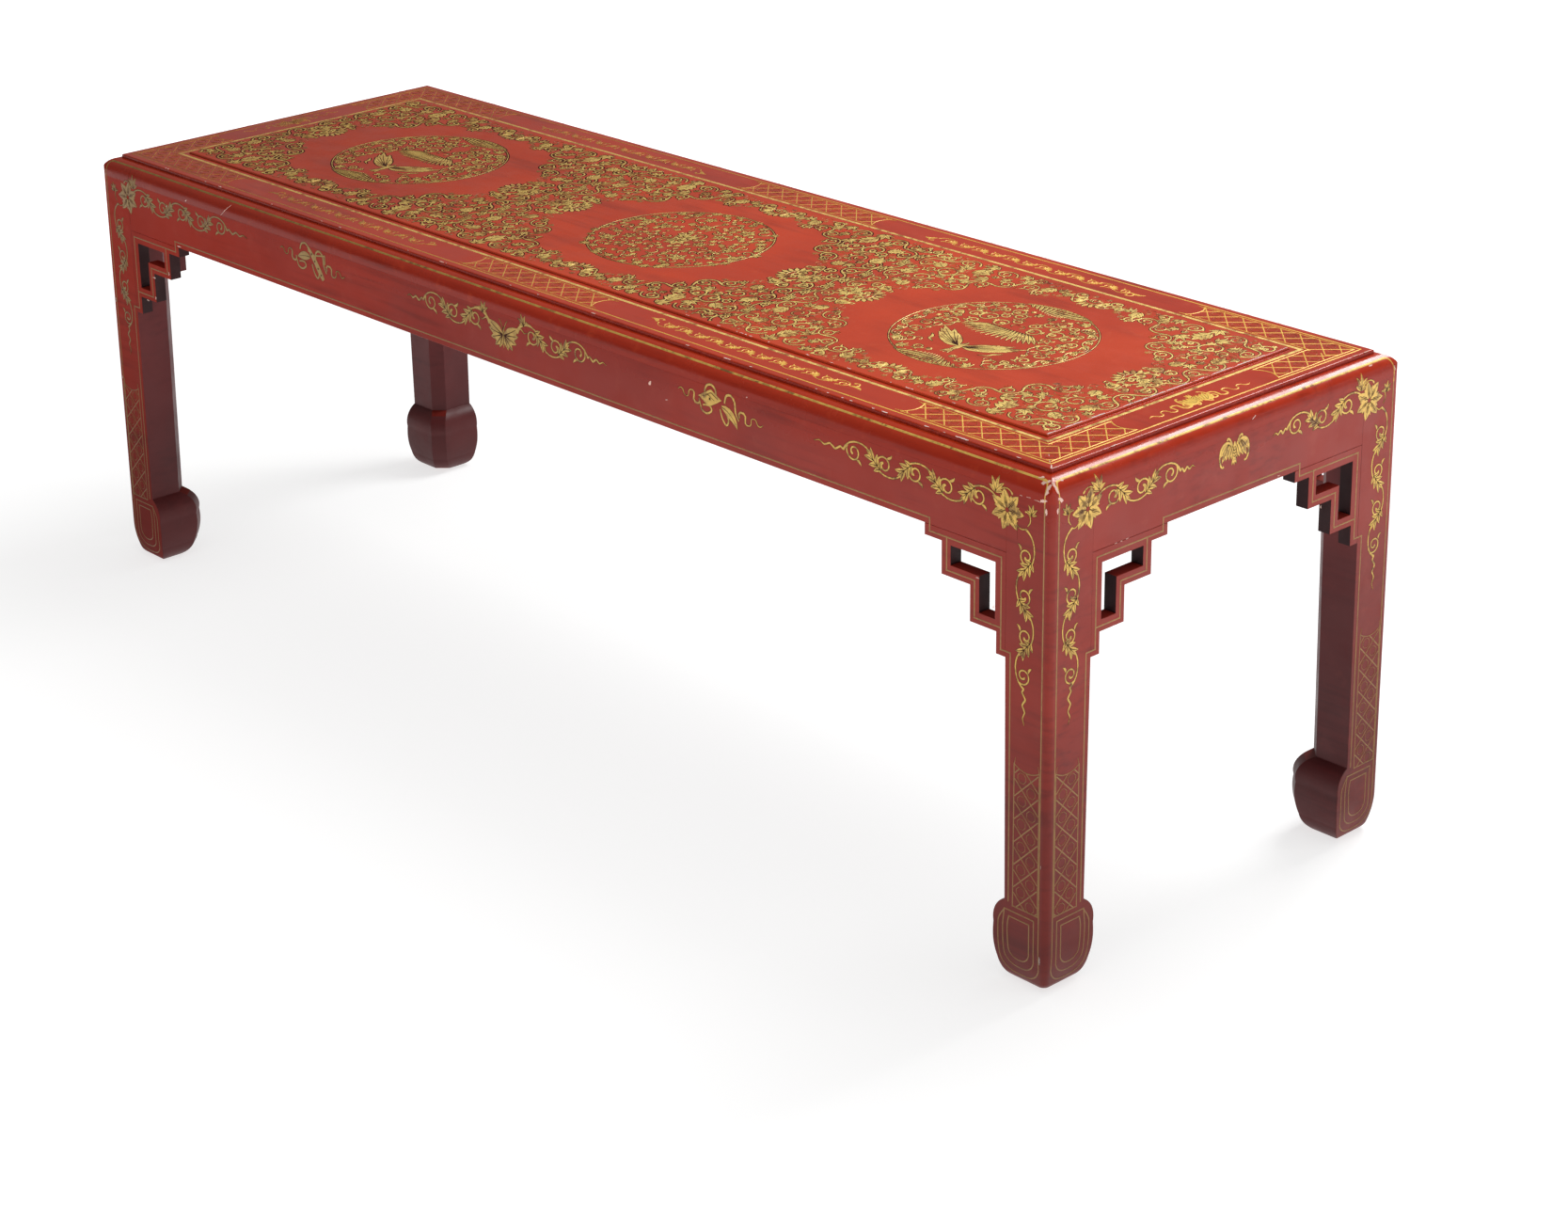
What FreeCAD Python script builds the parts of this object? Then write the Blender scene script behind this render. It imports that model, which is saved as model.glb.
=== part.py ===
"""Low flush-sided table of lacquered wood, with stepped openwork spandrels and hoof feet.

A mitred frame holds a floating panel that is keyed to three dovetailed battens. Four square
legs are tenoned into the corners of the frame, the aprons are tenoned into the legs, and a
stepped bracket is dowelled into every angle between an apron and a leg.

Millimetres. X runs along the table, Y across it, Z is up. The origin is on the floor under the
middle of the table.
"""
import FreeCAD
import Part

import math
import os

Vector = FreeCAD.Vector

# Overall size
LENGTH = 1385.0
WIDTH = 447.0
BAND_HEIGHT = 463.5
PANEL_PROUD = 2.0

# Top frame: an upright edge, a quarter-round shoulder, then a step up to a flat raised band
FRAME_WIDTH = 68.0
FRAME_DEPTH = 22.5
SHOULDER_RADIUS = 15.0
BAND_INSET = 16.5
BAND_STEP = 4.0
BAND_EDGE_RADIUS = 1.5
CORNER_RADIUS = 6.0
FRAME_TENON_INSETS = (24.0, 52.0)
FRAME_TENON_STOP = 15.0
FRAME_TENON_LEVELS = (9.5, 15.5)

# Floating panel
PANEL_THICKNESS = 14.0
TONGUE_THICKNESS = 6.0
GROOVE_DEPTH = 8.0
TONGUE_GAP = 1.5
PANEL_SEAM = 0.4
PANEL_EDGE_RADIUS = 1.8

# Cross battens under the panel
BATTEN_PLACES = {"left": -425.0, "centre": 0.0, "right": 425.0}
BATTEN_WIDTH = 44.0
BATTEN_DROP = 8.0
KEY_HEIGHT = 4.5
KEY_WIDTHS = (20.0, 25.0)
BATTEN_TENON_WIDTH = 28.0
BATTEN_TENON_LENGTH = 12.0
BATTEN_TENON_HEIGHT = 6.0
BATTEN_TENON_LEVEL = 2.5

# Legs, with two tenons each at the top, whose inner faces taper below the spandrels
LEG_WIDTH = 49.0
LEG_TAPER = 1.8
INNER_CHAMFER = 12.0
LEG_TENON_NEAR = (9.0, 20.0)
LEG_TENON_FAR = (26.0, 42.0)
LEG_TENON_HEIGHT = 8.0

# Hoof feet: a rise is how far an arc stands out from its chord, and the slopes, in degrees, are
# those of the outer curve at the floor, at the toe and at its top
HOOF_TOP = 76.0
HOOF_SWELL = 12.3
HOOF_SWELL_HEIGHT = 50.5
HOOF_HEEL = 9.3
HOOF_HEEL_HEIGHT = 18.0
HOOF_PAD_INSETS = (13.0, 42.0)
HOOF_TOE_INSET = 4.3
HOOF_SLOPES = (12.0, 74.0, 90.0)
SHOULDER_RISE = 4.9
BELLY_RISE = 1.7
HEEL_RISE = 3.2
FACET_RISE_FACTOR = 1.3

# Aprons
APRON_HEIGHT = 53.5
APRON_THICKNESS = 18.0
APRON_TENON_LENGTH = 16.0
APRON_TENON_THICKNESS = 8.0
APRON_TENON_MARGIN = 8.0
SOFT_EDGE = 0.8

# Stepped spandrels: the same steps run out along the apron and down the leg
STEPS = (10.5, 40.0, 72.5, 92.0)
SPANDREL_THICKNESS = 13.0
FRET_BAR_BESIDE = 12.0
FRET_BAR_BELOW = 10.5
DOWEL_RADIUS = 3.0
DOWEL_LENGTH = 20.0
DOWEL_INSET = 57.0

# Sizes that follow from those above
HALF_LENGTH = LENGTH / 2
HALF_WIDTH = WIDTH / 2
FRAME_BOTTOM = BAND_HEIGHT - FRAME_DEPTH
PANEL_TOP = BAND_HEIGHT + PANEL_PROUD
PANEL_BOTTOM = PANEL_TOP - PANEL_THICKNESS
TONGUE_TOP = PANEL_BOTTOM + TONGUE_THICKNESS
APRON_BOTTOM = FRAME_BOTTOM - APRON_HEIGHT
SPANDREL_BOTTOM = APRON_BOTTOM - STEPS[-1]
BATTEN_BOTTOM = FRAME_BOTTOM - BATTEN_DROP
OPENING_HALF_LENGTH = HALF_LENGTH - FRAME_WIDTH
OPENING_HALF_WIDTH = HALF_WIDTH - FRAME_WIDTH
QUARTER_ROUND = 1 - math.sqrt(0.5)
ROOT_TWO = math.sqrt(2)
TINY = 1e-4

# Directions, and the corner over which the front left leg stands
ALONG = Vector(1, 0, 0)
ACROSS = Vector(0, 1, 0)
UP = Vector(0, 0, 1)
CORNER = Vector(-HALF_LENGTH, -HALF_WIDTH, 0)


def outline(points, origin, right, up=UP):
    """A flat face from an outline that runs clockwise.

    Each point is (across, height), or (across, height, rise) where an arc that stands out from
    its chord by the rise leads to the point. The first point is always a plain corner.
    """
    def place(across, height):
        return origin + right * across + up * height

    edges = []
    for start, end in zip(points, points[1:] + points[:1]):
        here, there = place(*start[:2]), place(*end[:2])
        if len(end) == 2:
            edges.append(Part.LineSegment(here, there).toShape())
            continue
        run, lift = end[0] - start[0], end[1] - start[1]
        chord = math.hypot(run, lift)
        middle = place((start[0] + end[0]) / 2 - end[2] * lift / chord,
                       (start[1] + end[1]) / 2 + end[2] * run / chord)
        edges.append(Part.Arc(here, middle, there).toShape())
    return Part.Face(Part.Wire(edges))


def block(low, high):
    """A box between two opposite corners."""
    return Part.makeBox(high.x - low.x, high.y - low.y, high.z - low.z, low)


def mirrored(shape, flip_x, flip_y):
    """A copy of a shape reflected across the table's middle planes."""
    if flip_x:
        shape = shape.mirror(Vector(0, 0, 0), ALONG)
    if flip_y:
        shape = shape.mirror(Vector(0, 0, 0), ACROSS)
    return shape


# Top frame

def frame_section(inward):
    """The moulded section of a frame member at the front left corner."""
    shoulder = FRAME_DEPTH - BAND_STEP
    groove_low, groove_high = PANEL_BOTTOM - FRAME_BOTTOM, TONGUE_TOP - FRAME_BOTTOM
    groove_end = FRAME_WIDTH - GROOVE_DEPTH
    points = [
        (0, 0),
        (0, shoulder - SHOULDER_RADIUS),
        (SHOULDER_RADIUS, shoulder, QUARTER_ROUND * SHOULDER_RADIUS),
        (BAND_INSET, shoulder),
        (BAND_INSET, FRAME_DEPTH - BAND_EDGE_RADIUS),
        (BAND_INSET + BAND_EDGE_RADIUS, FRAME_DEPTH, QUARTER_ROUND * BAND_EDGE_RADIUS),
        (FRAME_WIDTH, FRAME_DEPTH),
        (FRAME_WIDTH, groove_high),
        (groove_end, groove_high),
        (groove_end, groove_low),
        (FRAME_WIDTH, groove_low),
        (FRAME_WIDTH, 0),
    ]
    return outline(points, CORNER + UP * FRAME_BOTTOM, inward)


def rounded_plan():
    """A tall block with the plan of the table, its four upright corners rounded."""
    height = 2 * PANEL_TOP
    whole = block(CORNER, Vector(HALF_LENGTH, HALF_WIDTH, height))
    upright = [edge for edge in whole.Edges if edge.BoundBox.ZLength > height - TINY]
    return whole.makeFillet(CORNER_RADIUS, upright)


def mitred_member(run, inward, length):
    """A moulded frame member with its ends cut at 45 degrees."""
    moulding = frame_section(inward).extrude(run * length)
    trapezium = [(0, 0), (FRAME_WIDTH, FRAME_WIDTH), (length - FRAME_WIDTH, FRAME_WIDTH), (length, 0)]
    plan = outline(trapezium, CORNER + UP * FRAME_BOTTOM, run, inward)
    return moulding.common(plan.extrude(UP * FRAME_DEPTH)).common(rounded_plan())


def frame_tenon():
    """The tenon of the front member at its left mitre, which enters the left member."""
    near, far = FRAME_TENON_INSETS
    low, high = FRAME_TENON_LEVELS
    plan = [(FRAME_TENON_STOP, near), (FRAME_TENON_STOP, far), (far, far), (near, near)]
    return outline(plan, CORNER + UP * (FRAME_BOTTOM + low), ALONG, ACROSS).extrude(UP * (high - low))


def leg_tenons():
    """The two tenons on top of the front left leg, for the front and for the left member."""
    top = CORNER + UP * FRAME_BOTTOM
    near, far = LEG_TENON_NEAR, LEG_TENON_FAR
    into_front = block(top + Vector(far[0], near[0], 0), top + Vector(far[1], near[1], LEG_TENON_HEIGHT))
    into_left = block(top + Vector(near[0], far[0], 0), top + Vector(near[1], far[1], LEG_TENON_HEIGHT))
    return into_front, into_left


def batten_tenon(place):
    """The tenon at the front end of a batten, which enters the front member."""
    low = Vector(place - BATTEN_TENON_WIDTH / 2, -OPENING_HALF_WIDTH - BATTEN_TENON_LENGTH,
                 FRAME_BOTTOM + BATTEN_TENON_LEVEL)
    return block(low, low + Vector(BATTEN_TENON_WIDTH, BATTEN_TENON_LENGTH, BATTEN_TENON_HEIGHT))


def front_frame_member():
    """A long member: mitred, tenoned at both ends, mortised for the legs and the battens."""
    member = mitred_member(ALONG, ACROSS, LENGTH)
    into_front, _ = leg_tenons()
    for flip in (False, True):
        member = member.fuse(mirrored(frame_tenon(), flip, False))
        member = member.cut(mirrored(into_front, flip, False))
    for place in BATTEN_PLACES.values():
        member = member.cut(batten_tenon(place))
    return member.removeSplitter()


def left_frame_member():
    """A short member: mitred and mortised for the long members and the legs."""
    member = mitred_member(ACROSS, ALONG, WIDTH)
    _, into_left = leg_tenons()
    for flip in (False, True):
        member = member.cut(mirrored(frame_tenon(), False, flip))
        member = member.cut(mirrored(into_left, False, flip))
    return member.removeSplitter()


# Panel and battens

def dovetail_key(place, half_length):
    """The tapered key along the top of a batten."""
    bottom, top = KEY_WIDTHS[0] / 2, KEY_WIDTHS[1] / 2
    section = [(-bottom, 0), (-top, KEY_HEIGHT), (top, KEY_HEIGHT), (bottom, 0)]
    return outline(section, Vector(place, -half_length, PANEL_BOTTOM), ALONG).extrude(ACROSS * 2 * half_length)


def top_panel():
    """The floating panel: a tongue in the frame's groove and a field that stands proud of it."""
    reach = GROOVE_DEPTH - TONGUE_GAP
    tongue_half = Vector(OPENING_HALF_LENGTH + reach, OPENING_HALF_WIDTH + reach, 0)
    field_half = Vector(OPENING_HALF_LENGTH - PANEL_SEAM, OPENING_HALF_WIDTH - PANEL_SEAM, 0)
    field = block(UP * PANEL_BOTTOM - field_half, UP * PANEL_TOP + field_half)
    rim = [edge for edge in field.Edges if edge.BoundBox.ZMin > PANEL_TOP - TINY]
    field = field.makeFillet(PANEL_EDGE_RADIUS, rim)
    panel = field.fuse(block(UP * PANEL_BOTTOM - tongue_half, UP * TONGUE_TOP + tongue_half))
    for place in BATTEN_PLACES.values():
        panel = panel.cut(dovetail_key(place, tongue_half.y))
    return panel.removeSplitter()


def panel_batten(place):
    """A cross batten between the long members, with its key and its end tenons."""
    half = Vector(BATTEN_WIDTH / 2, OPENING_HALF_WIDTH, 0)
    middle = ALONG * place
    batten = block(middle + UP * BATTEN_BOTTOM - half, middle + UP * PANEL_BOTTOM + half)
    batten = batten.fuse(dovetail_key(place, OPENING_HALF_WIDTH))
    for flip in (False, True):
        batten = batten.fuse(mirrored(batten_tenon(place), False, flip))
    return batten.removeSplitter()


# Legs

def hoof_outside(pad):
    """The outer outline of a leg from the floor up: two arcs that run on into the upright face."""
    slopes = [math.radians(slope) for slope in HOOF_SLOPES]
    points = [(pad, 0)]
    for low, high, inset in zip(slopes, slopes[1:], (HOOF_TOE_INSET, 0)):
        run, chord_slope = points[-1][0] - inset, (low + high) / 2
        rise = run / math.cos(chord_slope) / 2 * math.tan((high - low) / 4)
        points.append((inset, points[-1][1] + run * math.tan(chord_slope), rise))
    return points + [(0, FRAME_BOTTOM)]


def hoof_inside(face, pad, widening, rise_factor):
    """The inner outline of a leg from the top down: straight, tapered, then the hoof's curves."""
    ankle = face - LEG_TAPER * widening
    return [
        (face, FRAME_BOTTOM),
        (face, SPANDREL_BOTTOM),
        (ankle, HOOF_TOP),
        (ankle + HOOF_SWELL * widening, HOOF_SWELL_HEIGHT, SHOULDER_RISE * rise_factor),
        (ankle + HOOF_HEEL * widening, HOOF_HEEL_HEIGHT, BELLY_RISE * rise_factor),
        (pad, 0, HEEL_RISE * rise_factor),
    ]


def leg_blank():
    """The front left leg before its joints are cut.

    The side view runs through along both faces, and a third view runs across the corner for the
    chamfer of the inner arris, which swells with the hoof.
    """
    reach = LEG_WIDTH + HOOF_SWELL
    pad_outside, pad_inside = HOOF_PAD_INSETS
    side_view = hoof_outside(pad_outside) + hoof_inside(LEG_WIDTH, pad_inside, 1, 1)
    facet = (2 * LEG_WIDTH - INNER_CHAMFER) / ROOT_TWO
    facet_pad = (2 * pad_inside - INNER_CHAMFER) / ROOT_TWO
    corner_view = [(-reach, 0), (-reach, FRAME_BOTTOM)]
    corner_view += hoof_inside(facet, facet_pad, ROOT_TWO, FACET_RISE_FACTOR)
    leg = outline(side_view, CORNER - ACROSS * reach, ALONG).extrude(ACROSS * 3 * reach)
    leg = leg.common(outline(side_view, CORNER - ALONG * reach, ACROSS).extrude(ALONG * 3 * reach))
    inwards, sideways = (ALONG + ACROSS) / ROOT_TWO, (ACROSS - ALONG) / ROOT_TWO
    leg = leg.common(outline(corner_view, CORNER - sideways * reach, inwards).extrude(sideways * 2 * reach))
    return leg.makeFillet(CORNER_RADIUS, [edge for edge in leg.Edges if on_outer_arris(edge)])


def on_outer_arris(edge):
    """Whether an edge lies on the outer corner of the front left leg."""
    places = [point - CORNER for point in edge.discretize(5)]
    return all(abs(place.x - place.y) < TINY and place.x < LEG_WIDTH / 2 for place in places)


def apron_tenon(run, inward):
    """The tenon at the left or front end of an apron, which enters the front left leg."""
    level = APRON_BOTTOM + APRON_TENON_MARGIN
    inset = (APRON_THICKNESS - APRON_TENON_THICKNESS) / 2
    start = CORNER + UP * level + run * (LEG_WIDTH - APRON_TENON_LENGTH) + inward * inset
    size = run * APRON_TENON_LENGTH + inward * APRON_TENON_THICKNESS
    return block(start, start + size + UP * (APRON_HEIGHT - 2 * APRON_TENON_MARGIN))


def front_left_leg():
    """A leg with its hoof, its top tenons, and its mortises and dowel holes."""
    leg = leg_blank()
    for tenon in leg_tenons():
        leg = leg.fuse(tenon)
    for run, inward in ((ALONG, ACROSS), (ACROSS, ALONG)):
        leg = leg.cut(apron_tenon(run, inward))
        leg = leg.cut(leg_dowel(run, inward))
    return leg.removeSplitter()


# Aprons

def apron(run, inward, half_length):
    """The front or left apron between two legs, with a tenon at each end."""
    length = 2 * (half_length - LEG_WIDTH)
    start = CORNER + run * LEG_WIDTH + UP * APRON_BOTTOM
    board = block(start, start + run * length + inward * APRON_THICKNESS + UP * APRON_HEIGHT)
    lower = [edge for edge in board.Edges
             if edge.BoundBox.ZMax < APRON_BOTTOM + TINY and edge.Length > length - TINY]
    board = board.makeFillet(SOFT_EDGE, lower)
    along_x = run == ALONG
    for flip in (False, True):
        flips = (flip and along_x, flip and not along_x)
        board = board.fuse(mirrored(apron_tenon(run, inward), *flips))
        board = board.cut(mirrored(apron_dowel(run, inward), *flips))
    return board.removeSplitter()


# Spandrels and their dowels

def spandrel_outline():
    """The stepped lower outline, from the end under the apron to the end against the leg."""
    first, second, third, last = STEPS
    return [(0, 0), (last, 0), (last, -first), (third, -first), (third, -second), (second, -second),
            (second, -third), (first, -third), (first, -last), (0, -last)]


def fret_opening():
    """The angled opening that leaves bars of even width inside the steps."""
    _, second, third, _ = STEPS
    beside, below = FRET_BAR_BESIDE, FRET_BAR_BELOW
    return [(beside, -beside), (third - below, -beside), (third - below, -(second - below)),
            (second - below, -(second - below)), (second - below, -(third - below)),
            (beside, -(third - below))]


def spandrel(run, inward):
    """The stepped openwork bracket between an apron and the front left leg."""
    origin = CORNER + run * LEG_WIDTH + UP * APRON_BOTTOM
    bracket = outline(spandrel_outline(), origin, run).extrude(inward * SPANDREL_THICKNESS)
    bracket = bracket.cut(outline(fret_opening(), origin, run).extrude(inward * SPANDREL_THICKNESS))
    bracket = bracket.cut(apron_dowel(run, inward))
    return bracket.cut(leg_dowel(run, inward)).removeSplitter()


def apron_dowel(run, inward):
    """The upright dowel between a spandrel and the apron above it."""
    place = CORNER + run * (LEG_WIDTH + DOWEL_INSET) + inward * (SPANDREL_THICKNESS / 2)
    return Part.makeCylinder(DOWEL_RADIUS, DOWEL_LENGTH, place + UP * (APRON_BOTTOM - DOWEL_LENGTH / 2), UP)


def leg_dowel(run, inward):
    """The level dowel between a spandrel and the leg beside it."""
    place = CORNER + run * (LEG_WIDTH - DOWEL_LENGTH / 2) + inward * (SPANDREL_THICKNESS / 2)
    return Part.makeCylinder(DOWEL_RADIUS, DOWEL_LENGTH, place + UP * (APRON_BOTTOM - DOWEL_INSET), run)


# Assembly

CORNERS = {"front_left": (False, False), "front_right": (True, False),
           "back_left": (False, True), "back_right": (True, True)}


def build():
    """Every piece of the table by its node name."""
    front, left = front_frame_member(), left_frame_member()
    front_apron = apron(ALONG, ACROSS, HALF_LENGTH)
    left_apron = apron(ACROSS, ALONG, HALF_WIDTH)
    pieces = {
        "top_frame_front": front,
        "top_frame_back": mirrored(front, False, True),
        "top_frame_left": left,
        "top_frame_right": mirrored(left, True, False),
        "top_panel": top_panel(),
        "apron_front": front_apron,
        "apron_back": mirrored(front_apron, False, True),
        "apron_left": left_apron,
        "apron_right": mirrored(left_apron, True, False),
    }
    for side, place in BATTEN_PLACES.items():
        pieces["panel_batten_" + side] = panel_batten(place)
    leg = front_left_leg()
    long_spandrel, short_spandrel = spandrel(ALONG, ACROSS), spandrel(ACROSS, ALONG)
    dowels = []
    for corner, flips in CORNERS.items():
        long_side, short_side = corner.split("_")
        pieces["leg_" + corner] = mirrored(leg, *flips)
        pieces[f"spandrel_{long_side}_{short_side}"] = mirrored(long_spandrel, *flips)
        pieces[f"spandrel_{short_side}_{long_side}"] = mirrored(short_spandrel, *flips)
        for run, inward in ((ALONG, ACROSS), (ACROSS, ALONG)):
            dowels += [mirrored(make(run, inward), *flips) for make in (apron_dowel, leg_dowel)]
    pieces["spandrel_dowels"] = Part.makeCompound(dowels)
    return pieces


os.makedirs("parts", exist_ok=True)
for name, piece in build().items():
    piece.exportStep(f"parts/{name}.step")
    print(f"{name}: {len(piece.Solids)} solid, {piece.Volume / 1000:.1f} cm3, valid {piece.isValid()}")
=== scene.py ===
"""Looks of the low table: softened solids, lacquer, gilding, wear, light and camera.

Metres, in the table's own frame: X along the table, Y across it towards the back, Z up.
The ornament is drawn in millimetres.
"""
import logging
import math
import random
from contextlib import contextmanager
from dataclasses import dataclass, field
from enum import Enum
from typing import Callable, Iterable, Iterator, Mapping, Sequence

import bmesh
import bpy
import numpy as np
from bpy.types import Curve, Material, Mesh, Node, NodeSocket, NodeTree, Object
from mathutils import Matrix, Vector


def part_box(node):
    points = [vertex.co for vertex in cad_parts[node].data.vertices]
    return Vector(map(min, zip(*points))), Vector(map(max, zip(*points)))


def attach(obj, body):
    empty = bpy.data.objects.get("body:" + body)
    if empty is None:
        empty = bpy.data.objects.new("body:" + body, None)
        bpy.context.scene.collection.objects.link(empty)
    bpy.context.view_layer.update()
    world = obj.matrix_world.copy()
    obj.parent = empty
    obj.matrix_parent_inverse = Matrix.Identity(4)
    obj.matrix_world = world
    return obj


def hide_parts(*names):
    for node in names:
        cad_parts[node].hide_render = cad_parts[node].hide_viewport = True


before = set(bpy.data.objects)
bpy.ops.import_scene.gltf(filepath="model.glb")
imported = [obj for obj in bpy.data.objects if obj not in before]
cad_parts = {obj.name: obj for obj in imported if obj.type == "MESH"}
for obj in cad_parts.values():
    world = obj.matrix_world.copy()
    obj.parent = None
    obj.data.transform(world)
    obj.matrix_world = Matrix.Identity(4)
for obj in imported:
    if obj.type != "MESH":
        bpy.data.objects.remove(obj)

LOG = logging.getLogger("low_table")
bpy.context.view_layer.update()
MM = 0.001
BODY = "root"
Point = tuple[float, float]
Triple = tuple[float, float, float]
Tint = tuple[int, int, int]
Test = Callable[[Vector, Vector], bool]
Carry = Callable[[float, float], Point]
Surface = Callable[[np.ndarray], np.ndarray]


class Slot(Enum):
    """Material slots of the table's record."""

    TOP = "red_lacquer_top"
    SIDE = "red_lacquer"
    GILT = "gilding"
    AGED = "aged_gilding"


class Side(Enum):
    """The four upright sides, each by its quarter turns from the front."""

    FRONT = 0
    RIGHT = 1
    BACK = 2
    LEFT = 3

    @property
    def turn(self) -> Matrix:
        """Turn about the upright axis that brings the front to this side."""
        return Matrix.Rotation(self.value * math.pi / 2, 4, "Z")

    @property
    def is_long(self) -> bool:
        """Whether this is one of the two long sides."""
        return self.value % 2 == 0

    @property
    def word(self) -> str:
        """The side's name as the pieces use it."""
        return self.name.lower()


@dataclass(frozen=True)
class TableSizes:
    """Main sizes in metres, measured on the construction."""

    half_length: float
    half_width: float
    frame_width: float
    band: float
    panel: float
    frame_bottom: float
    apron_bottom: float
    apron_thickness: float
    spandrel_bottom: float
    spandrel_thickness: float
    leg: float

    @classmethod
    def measured(cls) -> "TableSizes":
        """Reads the sizes from the boxes of the construction's pieces.

        Returns:
            The sizes.
        """
        low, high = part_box("top_frame_front")
        side_low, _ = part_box("top_frame_left")
        _, panel_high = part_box("top_panel")
        apron_low, apron_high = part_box("apron_front")
        fret_low, fret_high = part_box("spandrel_front_left")
        return cls(-side_low.x, -low.y, high.y - low.y, high.z, panel_high.z, apron_high.z, apron_low.z,
                   apron_high.y - apron_low.y, fret_low.z, fret_high.y - fret_low.y, fret_low.x - side_low.x)

    def half_run(self, side: Side) -> float:
        """Half the table's extent along a side."""
        return self.half_length if side.is_long else self.half_width

    def half_reach(self, side: Side) -> float:
        """Distance of a side's face from the middle of the table."""
        return self.half_width if side.is_long else self.half_length


def pick(piece: Object) -> None:
    """Makes a piece the only selected and the active one."""
    bpy.ops.object.select_all(action="DESELECT")
    piece.select_set(True)
    bpy.context.view_layer.objects.active = piece


@contextmanager
def editing(piece: Object) -> Iterator[None]:
    """Holds a piece in edit mode, everything selected at first."""
    pick(piece)
    bpy.ops.object.mode_set(mode="EDIT")
    bpy.ops.mesh.select_all(action="SELECT")
    yield
    bpy.ops.object.mode_set(mode="OBJECT")


def block(name: str, low: Sequence[float], high: Sequence[float]) -> Object:
    """A block between two corners.

    Args:
        name: Name of the new piece.
        low: Its low corner.
        high: Its high corner.

    Returns:
        The piece.
    """
    bpy.ops.object.select_all(action="DESELECT")
    bpy.ops.mesh.primitive_cube_add(size=1)
    piece = bpy.context.object
    piece.name = piece.data.name = name
    piece.scale = Vector(high) - Vector(low)
    piece.location = (Vector(high) + Vector(low)) / 2
    bpy.ops.object.transform_apply(location=True, rotation=True, scale=True)
    return piece


def choose(piece: Object, kind: str, test: Test) -> None:
    """Selects edges or faces of the piece in edit mode.

    Args:
        piece: The piece in edit mode.
        kind: EDGE or FACE.
        test: Asked with an edge's two ends, or with a face's middle and normal.
    """
    bpy.ops.mesh.select_mode(type=kind)
    bpy.ops.mesh.select_all(action="DESELECT")
    mesh = bmesh.from_edit_mesh(piece.data)
    if kind == "EDGE":
        for edge in mesh.edges:
            edge.select_set(test(edge.verts[0].co, edge.verts[1].co))
    else:
        for face in mesh.faces:
            face.select_set(test(face.calc_center_median(), face.normal))
    bmesh.update_edit_mesh(piece.data)


def bevel(width: float, segments: int) -> None:
    """Rounds the selected edges."""
    bpy.ops.mesh.bevel(offset=width, segments=segments, affect="EDGES", profile=0.5)


def bisect(point: Sequence[float], normal: Sequence[float], clear: bool) -> None:
    """Cuts along a plane, and takes away the side its normal points to if asked."""
    bpy.ops.mesh.select_all(action="SELECT")
    bpy.ops.mesh.bisect(plane_co=point, plane_no=normal, use_fill=clear, clear_outer=clear)


def modified(piece: Object, kind: str, **settings: object) -> None:
    """Adds a modifier and applies it."""
    pick(piece)
    modifier = piece.modifiers.new("work", kind)
    for key, value in settings.items():
        setattr(modifier, key, value)
    bpy.ops.object.modifier_apply(modifier=modifier.name)


def soften(piece: Object, width: float) -> None:
    """Eases the sharp edges of a piece and shades it smooth."""
    modified(piece, "BEVEL", width=width, segments=2, limit_method="ANGLE",
             angle_limit=math.radians(35))
    shade(piece)


def shade(piece: Object, angle: float = 35.0) -> None:
    """Shades a piece smooth where its faces meet below an angle."""
    pick(piece)
    bpy.ops.object.shade_smooth_by_angle(angle=math.radians(angle))
    modified(piece, "WEIGHTED_NORMAL", keep_sharp=True)


def recoat(piece: Object, material: Material, test: Test) -> None:
    """Gives some faces of a dressed piece another finish.

    Args:
        piece: The piece.
        material: The other finish.
        test: Asked with a face's middle and normal.
    """
    piece.data.materials.append(material)
    last = len(piece.data.materials) - 1
    for face in piece.data.polygons:
        if test(face.center, face.normal):
            face.material_index = last


def placed(piece: Object, matrix: Matrix) -> Object:
    """Turns and shifts a piece's mesh, its object staying at the origin."""
    piece.data.transform(matrix)
    piece.data.update()
    return piece


def twin(piece: Object, name: str, matrix: Matrix) -> Object:
    """A turned copy of a piece under another name."""
    pick(piece)
    bpy.ops.object.duplicate()
    copy = bpy.context.object
    copy.name = copy.data.name = name
    return placed(copy, matrix)


def loft(name: str, rings: Sequence[Sequence[Sequence[float]]]) -> Object:
    """A closed body drawn up level by level.

    Args:
        name: Name of the new piece.
        rings: Level outlines from the bottom up, anticlockwise, all of one count.

    Returns:
        The piece.
    """
    bpy.ops.object.select_all(action="DESELECT")
    bpy.ops.mesh.primitive_circle_add(vertices=len(rings[0]), radius=1, fill_type="NGON")
    piece = bpy.context.object
    piece.name = piece.data.name = name
    for vertex, place in zip(piece.data.vertices, rings[0]):
        vertex.co = place
    with editing(piece):
        for lower, upper in zip(rings, rings[1:]):
            bpy.ops.mesh.extrude_region_move()
            mesh = bmesh.from_edit_mesh(piece.data)
            moved = [v for v in mesh.verts if v.select]
            for vertex in moved:
                nearest = min(range(len(lower)), key=lambda i: (Vector(lower[i]) - vertex.co).length)
                vertex.co = upper[nearest]
            bmesh.update_edit_mesh(piece.data)
        bpy.ops.mesh.select_all(action="SELECT")
        bpy.ops.mesh.normals_make_consistent(inside=False)
    return piece


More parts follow.
